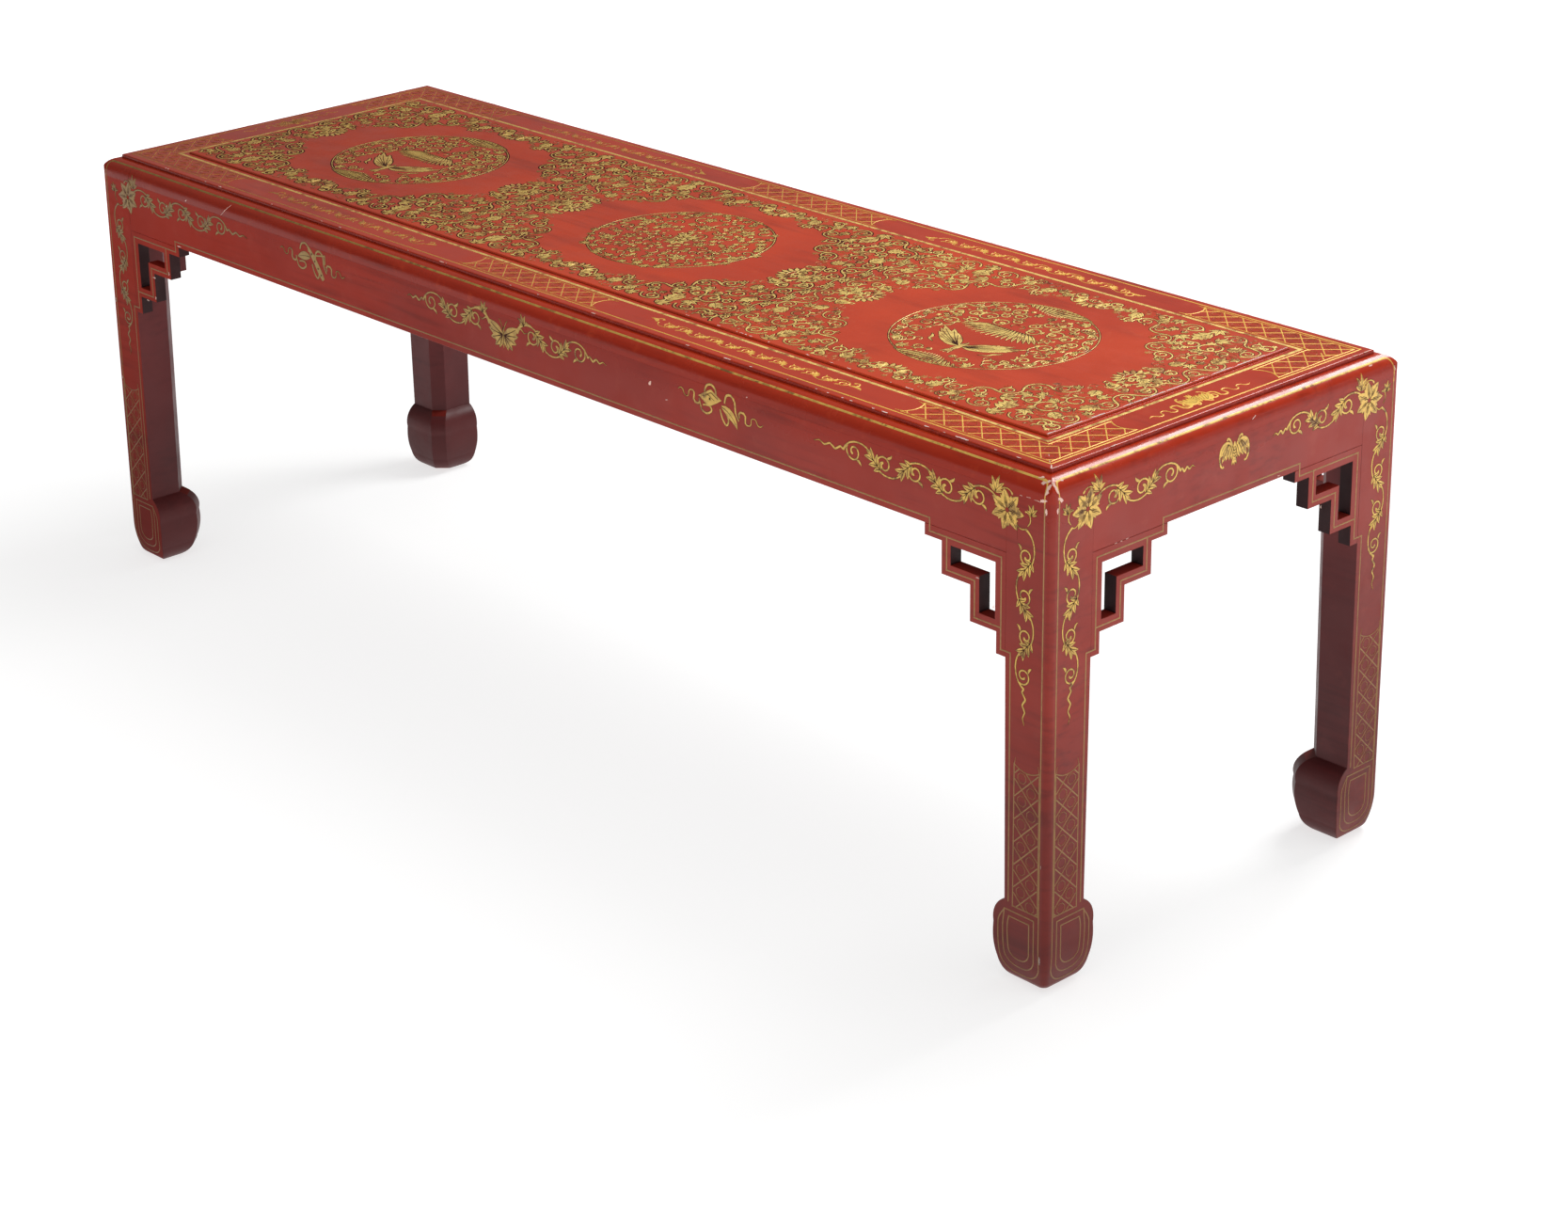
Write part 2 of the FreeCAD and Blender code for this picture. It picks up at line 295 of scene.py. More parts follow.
def meshed(curve: Curve, near: float) -> Object:
    """Makes a piece of a curve's mesh, its points merged where they are near, its faces turned outwards."""
    name = curve.name
    piece = bpy.data.objects.new(name, curve)
    bpy.context.scene.collection.objects.link(piece)
    pick(piece)
    bpy.ops.object.convert(target="MESH")
    piece.data.name = name
    with editing(piece):
        bpy.ops.mesh.remove_doubles(threshold=near)
        bpy.ops.mesh.normals_make_consistent(inside=False)
    return piece


def fretwork(name: str, outlines: Sequence[Sequence[Point]], thickness: float, soft: float) -> Object:
    """A board cut to outlines, with eased edges, lying in the XY plane from Z 0 down.

    Args:
        name: Name of the new piece.
        outlines: The outer outline and those of the openings.
        thickness: Thickness of the board.
        soft: Radius of the eased edges.

    Returns:
        The piece.
    """
    curve = bpy.data.curves.new(name, "CURVE")
    curve.dimensions = "2D"
    curve.fill_mode = "BOTH"
    curve.extrude = thickness / 2 - soft
    curve.bevel_depth = soft
    curve.bevel_resolution = 1
    curve.offset = -soft
    for outline in outlines:
        spline = curve.splines.new("POLY")
        spline.points.add(len(outline) - 1)
        for point, (x, y) in zip(spline.points, outline):
            point.co = (x, y, 0, 1)
        spline.use_cyclic_u = True
    return placed(meshed(curve, 1e-6), Matrix.Translation((0, 0, -thickness / 2)))


def hand_in(piece: Object, material: Material, replaces: str = "") -> None:
    """Gives a piece its finish and its body.

    Args:
        piece: The finished piece.
        material: The finish.
        replaces: Name of the construction's piece it stands for, if any.
    """
    if not piece.data.materials:
        piece.data.materials.append(material)
    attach(piece, BODY)
    if replaces:
        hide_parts(replaces)
    LOG.info("%s: %d faces", piece.name, len(piece.data.polygons))


@dataclass(frozen=True)
class Nodes:
    """A small helper that lays out the node tree of a material or a group."""

    tree: NodeTree

    def add(self, kind: str, **values: object) -> Node:
        """Adds a node and sets its inputs or properties.

        Args:
            kind: The node's type name.
            values: Properties, or inputs by name with spaces as underscores; a socket makes a link.

        Returns:
            The node.
        """
        node = self.tree.nodes.new(kind)
        for key, value in values.items():
            if hasattr(node, key) and key not in node.inputs:
                setattr(node, key, value)
            else:
                self.feed(node, key.replace("_", " "), value)
        return node

    def feed(self, node: Node, key: str | int, value: object) -> None:
        """Sets one input of a node, or links it."""
        socket = node.inputs[key]
        if isinstance(value, NodeSocket):
            self.tree.links.new(value, socket)
        else:
            socket.default_value = value

    def use(self, group: NodeTree, **values: object) -> Node:
        """Adds a group and sets or links its inputs."""
        node = self.add("ShaderNodeGroup", node_tree=group)
        for key, value in values.items():
            self.feed(node, key, value)
        return node

    def math(self, operation: str, *values: object, clamp: bool = False) -> NodeSocket:
        """One value worked out of others."""
        node = self.add("ShaderNodeMath", operation=operation, use_clamp=clamp)
        for index, value in enumerate(values):
            self.feed(node, index, value)
        return node.outputs[0]

    def mix(self, factor: object, first: object, second: object) -> NodeSocket:
        """A colour between two colours."""
        node = self.add("ShaderNodeMix", data_type="RGBA")
        for index, value in ((0, factor), (6, first), (7, second)):
            self.feed(node, index, value)
        return node.outputs[2]

    def ramp(self, value: object, low: float, high: float, bottom: object = 0.0,
             top: object = 1.0) -> NodeSocket:
        """A value carried smoothly from one range to another."""
        node = self.add("ShaderNodeMapRange", interpolation_type="SMOOTHSTEP")
        for index, item in enumerate((value, low, high, bottom, top)):
            self.feed(node, index, item)
        return node.outputs[0]

    def noise(self, place: NodeSocket, scale: float, detail: float = 3.0,
              roughness: float = 0.55) -> NodeSocket:
        """Cloudy noise between 0 and 1."""
        node = self.add("ShaderNodeTexNoise", Vector=place, Scale=scale, Detail=detail, Roughness=roughness)
        return node.outputs["Fac"]


def linear(red: int, green: int, blue: int) -> tuple[float, float, float, float]:
    """A colour as seen on screen, 0 to 255, as linear light."""
    def one(level: int) -> float:
        """One channel of the colour."""
        share = level / 255
        return share / 12.92 if share <= 0.04045 else ((share + 0.055) / 1.055) ** 2.4

    return (one(red), one(green), one(blue), 1.0)


class Effects:
    """Shader node groups that several finishes share."""

    def __init__(self) -> None:
        """Builds the groups."""
        self.drift, self.surface = self.colour_drift(), self.fine_surface()
        self.rubbed, self.soil = self.rubbed_patches(), self.floor_shading()

    @staticmethod
    def start(name: str, inputs: dict[str, str],
              outputs: dict[str, str]) -> tuple[Nodes, Mapping[str, NodeSocket], Node]:
        """Starts a group.

        Args:
            name: Name of the group.
            inputs: Its inputs, each with the kind of its socket.
            outputs: Its outputs likewise.

        Returns:
            The node helper, what the group is given, and its output node.
        """
        tree = bpy.data.node_groups.new(name, "ShaderNodeTree")
        for words, way in ((inputs, "INPUT"), (outputs, "OUTPUT")):
            for word, kind in words.items():
                tree.interface.new_socket(word, in_out=way, socket_type=f"NodeSocket{kind}")
        nodes = Nodes(tree)
        return nodes, nodes.add("NodeGroupInput").outputs, nodes.add("NodeGroupOutput")

    def colour_drift(self) -> NodeTree:
        """A tint that drifts to a deeper one in broad clouds and to a paler one in fine flecks."""
        tints = {"Tint": "Color", "Deep": "Color", "Pale": "Color"}
        nodes, given, out = self.start("colour_drift", {"Place": "Vector", **tints}, {"Colour": "Color"})
        place = given["Place"]
        colour = nodes.mix(nodes.ramp(nodes.noise(place, 5.0), 0.38, 0.66), given["Tint"], given["Deep"])
        drawn = nodes.add("ShaderNodeMapping", Vector=place, Scale=(9.0, 60.0, 190.0)).outputs[0]
        streaks = nodes.math("MULTIPLY", nodes.ramp(nodes.noise(drawn, 1.0, 4.0), 0.42, 0.72, 0.0, 0.55),
                             nodes.ramp(nodes.noise(place, 9.0), 0.35, 0.65))
        colour = nodes.mix(streaks, colour, nodes.mix(0.45, given["Deep"], (0.0, 0.0, 0.0, 1.0)))
        flecks = nodes.ramp(nodes.noise(place, 60.0, 4.0), 0.55, 0.8, 0.0, 0.35)
        nodes.feed(out, "Colour", nodes.mix(flecks, colour, given["Pale"]))
        return nodes.tree

    def fine_surface(self) -> NodeTree:
        """The slight waviness of hand-rubbed lacquer, and the dull and glossy patches on it."""
        nodes, given, out = self.start("fine_surface", {"Place": "Vector", "Gloss": "Float"},
                                       {"Height": "Float", "Roughness": "Float"})
        place = given["Place"]
        nodes.feed(out, "Height", nodes.noise(place, 90.0, 2.0))
        patches = nodes.ramp(nodes.noise(place, 34.0, 4.0), 0.3, 0.7, -0.06, 0.09)
        nodes.feed(out, "Roughness", nodes.math("ADD", given["Gloss"], patches))
        return nodes.tree

    def rubbed_patches(self) -> NodeTree:
        """Where gold has been rubbed thin."""
        nodes, given, out = self.start("rubbed_patches", {"Place": "Vector", "Amount": "Float"},
                                       {"Mask": "Float"})
        place = given["Place"]
        fine = nodes.ramp(nodes.noise(place, 130.0, 4.0, 0.7), 0.42, 0.6)
        broad = nodes.ramp(nodes.noise(place, 38.0, 3.0), 0.38, 0.62, 0.3, 1.0)
        patches = nodes.math("MULTIPLY", fine, broad)
        nodes.feed(out, "Mask", nodes.math("MULTIPLY", patches, given["Amount"], clamp=True))
        return nodes.tree

    def floor_shading(self) -> NodeTree:
        """Painted shade: a colour that grows dull and dark towards the floor, in patches."""
        inputs = {"Place": "Vector", "Colour": "Color", "Soil": "Color", "Amount": "Float"}
        nodes, given, out = self.start("floor_shading", inputs, {"Colour": "Color"})
        place = given["Place"]
        height = nodes.add("ShaderNodeSeparateXYZ", Vector=place).outputs["Z"]
        patchy = nodes.ramp(nodes.noise(place, 14.0, 4.0), 0.3, 0.7, 0.7, 1.0)
        mask = nodes.math("MULTIPLY", nodes.ramp(height, 0.02, 0.42, given["Amount"], 0.0), patchy)
        nodes.feed(out, "Colour", nodes.mix(mask, given["Colour"], given["Soil"]))
        return nodes.tree


@dataclass(frozen=True)
class Finish:
    """What lacquer and gold share: a name, a main tint and the way to their material."""

    name: str
    tint: Tint

    def shader(self, nodes: Nodes, effects: Effects, place: NodeSocket) -> Node:
        """The surface shader, which each kind of finish lays out its own way."""
        raise NotImplementedError

    def material(self, effects: Effects) -> Material:
        """Builds the material.

        Args:
            effects: The shared node groups.

        Returns:
            The material.
        """
        material = bpy.data.materials.new(self.name)
        material.use_nodes = True
        material.node_tree.nodes.clear()
        nodes = Nodes(material.node_tree)
        shader = self.shader(nodes, effects, nodes.add("ShaderNodeTexCoord").outputs["Object"])
        nodes.add("ShaderNodeOutputMaterial", Surface=shader.outputs[0])
        return material


@dataclass(frozen=True)
class Lacquer(Finish):
    """A lacquer coat, its tints and its gloss; some take a darker tint on upright faces as painted shade,
    some the same tint near the top, and some a painted shade that deepens towards the left end."""

    SOIL = linear(58, 30, 31)
    SHADOW = linear(70, 18, 11)
    deep: Tint
    pale: Tint
    roughness: float = 0.34
    specular: float = 0.35
    coat: float = 0.0
    upright: Tint | None = None
    crown: Tint | None = None
    shade: float = 0.0

    def shader(self, nodes: Nodes, effects: Effects, place: NodeSocket) -> Node:
        """The lacquer's shader."""
        tint: object = linear(*self.tint)
        deep: object = linear(*self.deep)
        specular: object = self.specular
        gloss: object = self.roughness
        # Near the top the side lacquer takes its crown tint, the frame's painted upright shade, so that the
        # two meet without a step.
        if self.crown:
            apart = nodes.add("ShaderNodeSeparateXYZ", Vector=place)
            near = (apart.outputs["Z"], 0.405, 0.443)
            tint = nodes.mix(nodes.ramp(*near), tint, linear(*self.crown))
            along = (apart.outputs["X"], -0.6, 0.6)
            specular = nodes.ramp(*near, nodes.ramp(*along, 0.1 * self.specular, self.specular),
                                  nodes.ramp(*along, 0.03, 0.12))
            gloss = nodes.ramp(*near, self.roughness, 0.2)
        # Painted shade: upright faces take the darker upright tint, so that tops read lighter than sides.
        if self.upright:
            normal = nodes.add("ShaderNodeNewGeometry").outputs["Normal"]
            upward = nodes.ramp(nodes.add("ShaderNodeSeparateXYZ", Vector=normal).outputs["Z"], 0.3, 0.95)
            tint, deep = (nodes.mix(upward, linear(*self.upright), level) for level in (tint, deep))
            specular = nodes.math("MULTIPLY", nodes.ramp(upward, 0.0, 1.0, 0.27, 1.0), self.specular)
        drift = nodes.use(effects.drift, Place=place, Tint=tint, Deep=deep, Pale=linear(*self.pale))
        colour = drift.outputs["Colour"]
        # Painted shade: the colour deepens to the shadow tint towards the table's left end.
        if self.shade:
            along = nodes.add("ShaderNodeSeparateXYZ", Vector=place).outputs["X"]
            colour = nodes.mix(nodes.ramp(along, -0.69, 0.25, self.shade, 0.0), colour, self.SHADOW)
        # Painted shade: the lacquer grows darker towards the floor.
        floor_shaded = nodes.use(effects.soil, Place=place, Colour=colour, Soil=self.SOIL, Amount=0.62)
        surface = nodes.use(effects.surface, Place=place, Gloss=gloss)
        bump = nodes.add("ShaderNodeBump", Strength=0.12, Distance=0.001, Height=surface.outputs["Height"])
        return nodes.add("ShaderNodeBsdfPrincipled", Base_Color=floor_shaded.outputs["Colour"],
                         Roughness=surface.outputs["Roughness"], Specular_IOR_Level=specular,
                         Coat_Weight=self.coat, Coat_Roughness=0.18, Normal=bump.outputs[0])


@dataclass(frozen=True)
class Gold(Finish):
    """Painted gold, its tints and its shine; a darker tint rules the table's left end as painted shade."""

    SOIL = linear(92, 62, 44)
    worn: Tint
    left_shade: Tint
    rubbing: float = 0.8
    metallic: float = 0.3
    roughness: float = 0.4

    def shader(self, nodes: Nodes, effects: Effects, place: NodeSocket) -> Node:
        """The gold's shader."""
        along = nodes.add("ShaderNodeSeparateXYZ", Vector=place).outputs["X"]
        # Painted shade: the gold darkens to its left-end tint towards the table's left end.
        colour = nodes.mix(nodes.ramp(along, -0.55, 0.6), linear(*self.left_shade), linear(*self.tint))
        rubbed = nodes.use(effects.rubbed, Place=place, Amount=self.rubbing)
        colour = nodes.mix(rubbed.outputs["Mask"], colour, linear(*self.worn))
        # Painted shade: the gold grows a little darker towards the floor.
        floor_shaded = nodes.use(effects.soil, Place=place, Colour=colour, Soil=self.SOIL, Amount=0.3)
        return nodes.add("ShaderNodeBsdfPrincipled", Base_Color=floor_shaded.outputs["Colour"],
                         Metallic=self.metallic, Roughness=self.roughness, Specular_IOR_Level=0.3)


class Finishes:
    """All finishes of the table, one material each."""

    def __init__(self) -> None:
        """Builds the materials."""
        effects = Effects()
        # The top lacquer takes a painted shade that deepens towards the left end.
        lacquers = (Lacquer("top_lacquer", (202, 64, 25), (188, 56, 22), (208, 86, 48), 0.34, 0.32, 0.05,
                            shade=0.36),
                    # The frame lacquer paints shade twice: a darker tint on upright faces and a shade
                    # deepening to the left.
                    Lacquer("frame_lacquer", (190, 53, 20), (178, 48, 20), (198, 76, 44), 0.2, 0.45,
                            upright=(148, 40, 24), shade=0.3),
                    # The side lacquer is a darker copy of the top lacquer for the upright pieces, a painted
                    # shade; its crown near the top is the frame's painted upright shade.
                    Lacquer("side_lacquer", (152, 45, 31), (138, 40, 29), (158, 62, 48), 0.4, 0.22,
                            crown=(150, 41, 25)),
                    # The inner lacquer is a darker copy of the side lacquer, painted shade on faces turned in
                    # under the table.
                    Lacquer("inner_lacquer", (114, 42, 41), (98, 36, 36), (122, 52, 48), 0.45, 0.22),
                    # The underside lacquer covers hidden faces, and also paints near-black shade in the
                    # brackets' openings and the shadow line of the panel's seam.
                    Lacquer("underside_lacquer", (54, 27, 28), (42, 22, 24), (68, 40, 38), 0.6, 0.2),
                    Lacquer("bare_wood", (150, 112, 74), (120, 86, 54), (172, 134, 92), 0.6),
                    # The dark line finish draws veins and cracks, and the dark outlines that paint shade
                    # round the raised gold.
                    Lacquer("dark_line", (70, 31, 20), (58, 26, 18), (78, 40, 25), 0.6, 0.08),
                    Lacquer("bare_ground", (240, 222, 212), (226, 180, 162), (248, 238, 230), 0.7))
        self.top, self.frame, self.side, self.inner, self.hidden, self.wood, self.dark, self.ground = (
            lacquer.material(effects) for lacquer in lacquers)
        # Each gold's third tint is its painted shade at the left end.
        golds = (Gold("gilding", (222, 180, 88), (124, 88, 44), (136, 108, 54), 1.0, 0.15),
                 Gold("border_gilding", (250, 204, 92), (222, 150, 64), (150, 98, 46), 0.5, 0.15),
                 Gold("aged_gilding", (254, 220, 126), (160, 104, 52), (204, 170, 90), 1.0, 0.15),
                 Gold("faint_gilding", (190, 126, 62), (126, 64, 38), (120, 84, 46), 1.0, 0.1, 0.5),
                 Gold("dull_gilding", (164, 126, 78), (132, 94, 60), (136, 104, 66), 0.6, 0.1, 0.5))
        self.gilt, self.border, self.aged, self.faint, self.dull = (gold.material(effects) for gold in golds)


@dataclass(frozen=True)
class TopFrame:
    """The four moulded and mitred members of the top frame."""

    sizes: TableSizes
    shoulder_radius: float = 15 * MM
    band_inset: float = 16.5 * MM
    band_step: float = 4 * MM
    band_edge: float = 1.5 * MM
    corner_radius: float = 6 * MM
    ease: float = 0.35 * MM

    def member(self, name: str, half_run: float, half_reach: float) -> Object:
        """The front member of a frame of the given half sizes.

        Args:
            name: Name of the piece.
            half_run: Half the frame's extent along the member.
            half_reach: Half its extent across.

        Returns:
            The piece.
        """
        sizes = self.sizes
        outer, split = -half_reach, -half_reach + self.band_inset
        shoulder = sizes.band - self.band_step
        piece = block(name, (-half_run, outer, sizes.frame_bottom),
                      (half_run, outer + sizes.frame_width, shoulder))

        def edge_at(y: float, z: float) -> Test:
            """Finds an edge along the member by its place in the section."""
            return lambda a, b: all(abs(p.y - y) < 1e-5 and abs(p.z - z) < 1e-5 for p in (a, b))

        with editing(piece):
            bisect((0, split, 0), (0, 1, 0), False)
            choose(piece, "FACE", lambda middle, normal: normal.z > 0.9 and middle.y > split)
            bpy.ops.mesh.extrude_region_move(TRANSFORM_OT_translate={"value": (0, 0, self.band_step)})
            choose(piece, "EDGE", edge_at(outer, shoulder))
            bevel(self.shoulder_radius, 14)
            choose(piece, "EDGE", edge_at(split, sizes.band))
            bevel(self.band_edge, 3)
            for end in (-1, 1):
                bisect((end * half_run, outer, 0), (end, 1, 0), True)
        plan = block("corner_plan", (-half_run, outer, 0), (half_run, -outer, sizes.panel))
        with editing(plan):
            choose(plan, "EDGE", lambda a, b: abs(a.z - b.z) > 0.1)
            bevel(self.corner_radius, 6)
        modified(piece, "BOOLEAN", object=plan, operation="INTERSECT", solver="EXACT")
        bpy.data.objects.remove(plan)
        soften(piece, self.ease)
        return piece

    @staticmethod
    def out_of_sight(middle: Vector, normal: Vector) -> bool:
        """Whether a face lies underneath a member, or on its inner edge beside the panel, where the dark
        finish paints the shadow line of the seam.
        """
        return normal.z < -0.9 or abs(normal.z) < 0.5 and middle.xy.dot(normal.xy) < 0

    def build(self, finishes: Finishes) -> None:
        """Makes the four members."""
        for side in (Side.FRONT, Side.LEFT):
            names = [f"top_frame_{each.word}" for each in (side, Side((side.value + 2) % 4))]
            piece = self.member(f"{names[0]}_softened", self.sizes.half_run(side),
                                self.sizes.half_reach(side))
            placed(piece, side.turn)
            opposite = twin(piece, f"{names[1]}_softened", Side.BACK.turn)
            for member, name in zip((piece, opposite), names):
                hand_in(member, finishes.frame, name)
                # Undersides are hidden; the inner edge by the panel shows through the seam as a painted
                # shadow line.
                recoat(member, finishes.hidden, self.out_of_sight)


@dataclass(frozen=True)
class TopPanel:
    """The floating panel, proud of the frame with a rounded rim."""

    sizes: TableSizes
    seam: float = 0.4 * MM
    thickness: float = 14 * MM
    rim: float = 1.8 * MM
    ease: float = 0.3 * MM

    def build(self, finishes: Finishes) -> None:
        """Makes the panel."""
        sizes = self.sizes
        x, y = (half - sizes.frame_width - self.seam for half in (sizes.half_length, sizes.half_width))
        piece = block("top_panel_softened", (-x, -y, sizes.panel - self.thickness), (x, y, sizes.panel))
        with editing(piece):
            choose(piece, "EDGE", lambda a, b: min(a.z, b.z) > sizes.panel - 1e-5)
            bevel(self.rim, 5)
        soften(piece, self.ease)
        hand_in(piece, finishes.top, "top_panel")
        recoat(piece, finishes.hidden, lambda _, normal: normal.z < -0.9)


@dataclass(frozen=True)
class Leg:
    """A square leg with a softened arris, drawn up from its hoof foot."""

    sizes: TableSizes
    hoof_top: float = 76 * MM
    taper: float = 1.8 * MM
    swell: float = 12.3 * MM
    swell_height: float = 50.5 * MM
    heel: float = 9.3 * MM
    heel_height: float = 18 * MM
    pad: Point = (13 * MM, 42 * MM)
    toe_inset: float = 4.3 * MM
    slopes: Triple = (12.0, 74.0, 90.0)
    rises: Triple = (4.9 * MM, 1.7 * MM, 3.2 * MM)
    arris: float = 6 * MM
    side_ease: float = 1.0 * MM
    chamfer: float = 12 * MM
    joint_ease: float = 0.2 * MM

    @staticmethod
    def arc(start: Point, end: Point, rise: float, steps: int = 12) -> list[Point]:
        """Points of a flat arc, bulging to the left of its way by a rise."""
        (x0, z0), (x1, z1) = start, end
        chord = math.hypot(x1 - x0, z1 - z0)
        radius = chord * chord / (8 * rise) + rise / 2
        half = math.asin(min(1.0, chord / (2 * radius)))
        along = ((x1 - x0) / chord, (z1 - z0) / chord)
        left = (-along[1], along[0])
        points = []
        for step in range(1, steps + 1):
            angle = -half + 2 * half * step / steps
            a = chord / 2 + radius * math.sin(angle)
            b = radius * math.cos(angle) - (radius - rise)
            points.append((x0 + along[0] * a + left[0] * b, z0 + along[1] * a + left[1] * b))
        return points

    def outside(self) -> list[Point]:
        """Inset of the outer faces by height, from the floor up."""
        points = [(self.pad[0], 0.0)]
        stops = (self.toe_inset, 0.0)
        for index, stop in enumerate(stops):
            low, high = (math.radians(value) for value in self.slopes[index:index + 2])
            chord = (low + high) / 2
            run = points[-1][0] - stop
            rise = run / math.cos(chord) / 2 * math.tan((high - low) / 4)
            end = (stop, points[-1][1] + run * math.tan(chord))
            points += self.arc(points[-1], end, rise)
        return points + [(0.0, self.sizes.frame_bottom)]

    def inside(self) -> list[Point]:
        """Reach of the inner faces by height, from the floor up."""
        face = self.sizes.leg
        lower = face - self.taper
        points = [(self.pad[1], 0.0)]
        stops = ((lower + self.heel, self.heel_height), (lower + self.swell, self.swell_height),
                 (lower, self.hoof_top))
        for stop, rise in zip(stops, reversed(self.rises)):
            points += self.arc(points[-1], stop, -rise)
        return points + [(face, self.sizes.spandrel_bottom), (face, self.sizes.frame_bottom)]

    @staticmethod
    def at(points: Sequence[Point], height: float) -> float:
        """The outline's place at a height."""
        for (x0, z0), (x1, z1) in zip(points, points[1:]):
            if z0 <= height <= z1:
                return x0 if z1 - z0 < 1e-9 else x0 + (x1 - x0) * (height - z0) / (z1 - z0)
        return points[-1][0]

    def ring(self, outer: float, inner: float, height: float) -> list[Triple]:
        """The leg's outline at one height, its outer corner towards the origin."""
        def turn(centre: Point, radius: float, start: float, end: float, steps: int) -> list[Point]:
            """Points of a rounded corner, its angles in degrees."""
            angles = [math.radians(start + (end - start) * i / steps) for i in range(steps + 1)]
            return [(centre[0] + radius * math.cos(a), centre[1] + radius * math.sin(a)) for a in angles]

        ease = self.side_ease if height < self.sizes.spandrel_bottom - 1e-4 else self.joint_ease
        cut = self.chamfer
        reach = inner - ease
        bend = ease * math.tan(math.radians(22.5))
        plan = turn((reach, outer + ease), ease, -90, 0, 3)
        plan += turn((reach, inner - cut - bend), ease, 0, 45, 2)
        plan += turn((inner - cut - bend, reach), ease, 45, 90, 2)
        plan += turn((outer + ease, reach), ease, 90, 180, 3)
        plan += turn((outer + self.arris, outer + self.arris), self.arris, 180, 270, 8)
        return [(x, y, height) for x, y in plan]

    def build(self, finishes: Finishes) -> None:
        """Makes the four legs."""
        sizes = self.sizes
        outside, inside = self.outside(), self.inside()
        levels = sorted({round(z, 6) for _, z in outside + inside})
        rings = [self.ring(self.at(outside, z), self.at(inside, z), z) for z in levels]
        first = loft("leg_front_left_softened", rings)
        shade(first, 30)
        corners = (("front_left", 0, -1, -1), ("front_right", 1, 1, -1), ("back_right", 2, 1, 1),
                   ("back_left", 3, -1, 1))
        pieces = [first] + [twin(first, f"leg_{word}_softened", Matrix()) for word, *_ in corners[1:]]
        for piece, (word, quarter, x, y) in zip(pieces, corners):
            shift = Matrix.Translation((x * sizes.half_length, y * sizes.half_width, 0))
            placed(piece, shift @ Matrix.Rotation(quarter * math.pi / 2, 4, "Z"))
            hand_in(piece, finishes.side, f"leg_{word}")
            # Inner faces take the inner lacquer, painted shade.
            recoat(piece, finishes.inner, lambda _, normal: min(x * normal.x, y * normal.y) < -0.4)


@dataclass(frozen=True)
class Aprons:
    """The four aprons, flush with the legs."""

    sizes: TableSizes
    lower_edge: float = 0.8 * MM
    ease: float = 0.25 * MM

    def build(self, finishes: Finishes) -> None:
        """Makes the four aprons."""
        sizes = self.sizes
        for side in Side:
            run, reach = sizes.half_run(side) - sizes.leg, sizes.half_reach(side)
            piece = block(f"apron_{side.word}_softened", (-run, -reach, sizes.apron_bottom),
                          (run, -reach + sizes.apron_thickness, sizes.frame_bottom))
            with editing(piece):
                choose(piece, "EDGE", lambda a, b: max(a.z, b.z) < sizes.apron_bottom + 1e-5
                       and abs(a.y - b.y) < 1e-5)
                bevel(self.lower_edge, 3)
            soften(piece, self.ease)
            hand_in(piece, finishes.side, f"apron_{side.word}")
            # The apron's inner face takes the inner lacquer, painted shade.
            recoat(piece, finishes.inner, lambda _, normal: normal.y > 0.5)
            placed(piece, side.turn)


@dataclass(frozen=True)
class Spandrels:
    """The eight stepped openwork corner brackets."""

    sizes: TableSizes
    steps: tuple[float, float, float, float] = (10.5 * MM, 40 * MM, 72.5 * MM, 92 * MM)
    bar_beside: float = 12 * MM
    bar_below: float = 10.5 * MM
    ease: float = 0.5 * MM

    def outlines(self) -> list[list[Point]]:
        """The bracket's outline and its opening, from the corner of leg and apron."""
        a, b, c, d = self.steps
        outer = [(0, 0), (d, 0), (d, -a), (c, -a), (c, -b), (b, -b), (b, -c), (a, -c), (a, -d), (0, -d)]
        p, q = self.bar_beside, self.bar_below
        hole = [(p, -p), (c - q, -p), (c - q, -b + q), (b - q, -b + q), (b - q, -c + q), (p, -c + q)]
        return [outer, hole]

    def build(self, finishes: Finishes) -> None:
        """Makes the eight brackets."""
        sizes = self.sizes
        upright = Matrix.Rotation(math.pi / 2, 4, "X")
        for side in Side:
            for hand, end in ((1, Side((side.value + 3) % 4)), (-1, Side((side.value + 1) % 4))):
                outlines = [[(hand * x, y) for x, y in line] for line in self.outlines()]
                name = f"spandrel_{side.word}_{end.word}"
                piece = fretwork(f"{name}_softened", outlines, sizes.spandrel_thickness, self.ease)
                shade(piece)
                start = -hand * (sizes.half_run(side) - sizes.leg)
                place = Matrix.Translation((start, -sizes.half_reach(side), sizes.apron_bottom))
                hand_in(piece, finishes.side, name)
                # The brackets' undersides take the inner lacquer, painted shade.
                recoat(piece, finishes.inner, lambda _, normal: normal.z < -0.5)
                # Upright walls across the bracket take the near-black underside lacquer, painted shade.
                recoat(piece, finishes.hidden, lambda _, normal: abs(normal.x) > 0.75)
                placed(piece, side.turn @ place @ upright)


HAIR = 0.14


def polar(x: float, y: float, heading: float, length: float) -> Point:
    """The point at a length and heading (degrees) from another."""
    angle = math.radians(heading)
    return (x + length * math.cos(angle), y + length * math.sin(angle))


@dataclass(frozen=True)
class Stroke:
    """One brush stroke: its line of points and its half width at each."""

    points: tuple[Point, ...]
    widths: tuple[float, ...]

    def moved(self, place: Carry, scale: float = 1.0) -> "Stroke":
        """The stroke with each point carried elsewhere and its width scaled."""
        return Stroke(tuple(place(x, y) for x, y in self.points), tuple(w * scale for w in self.widths))


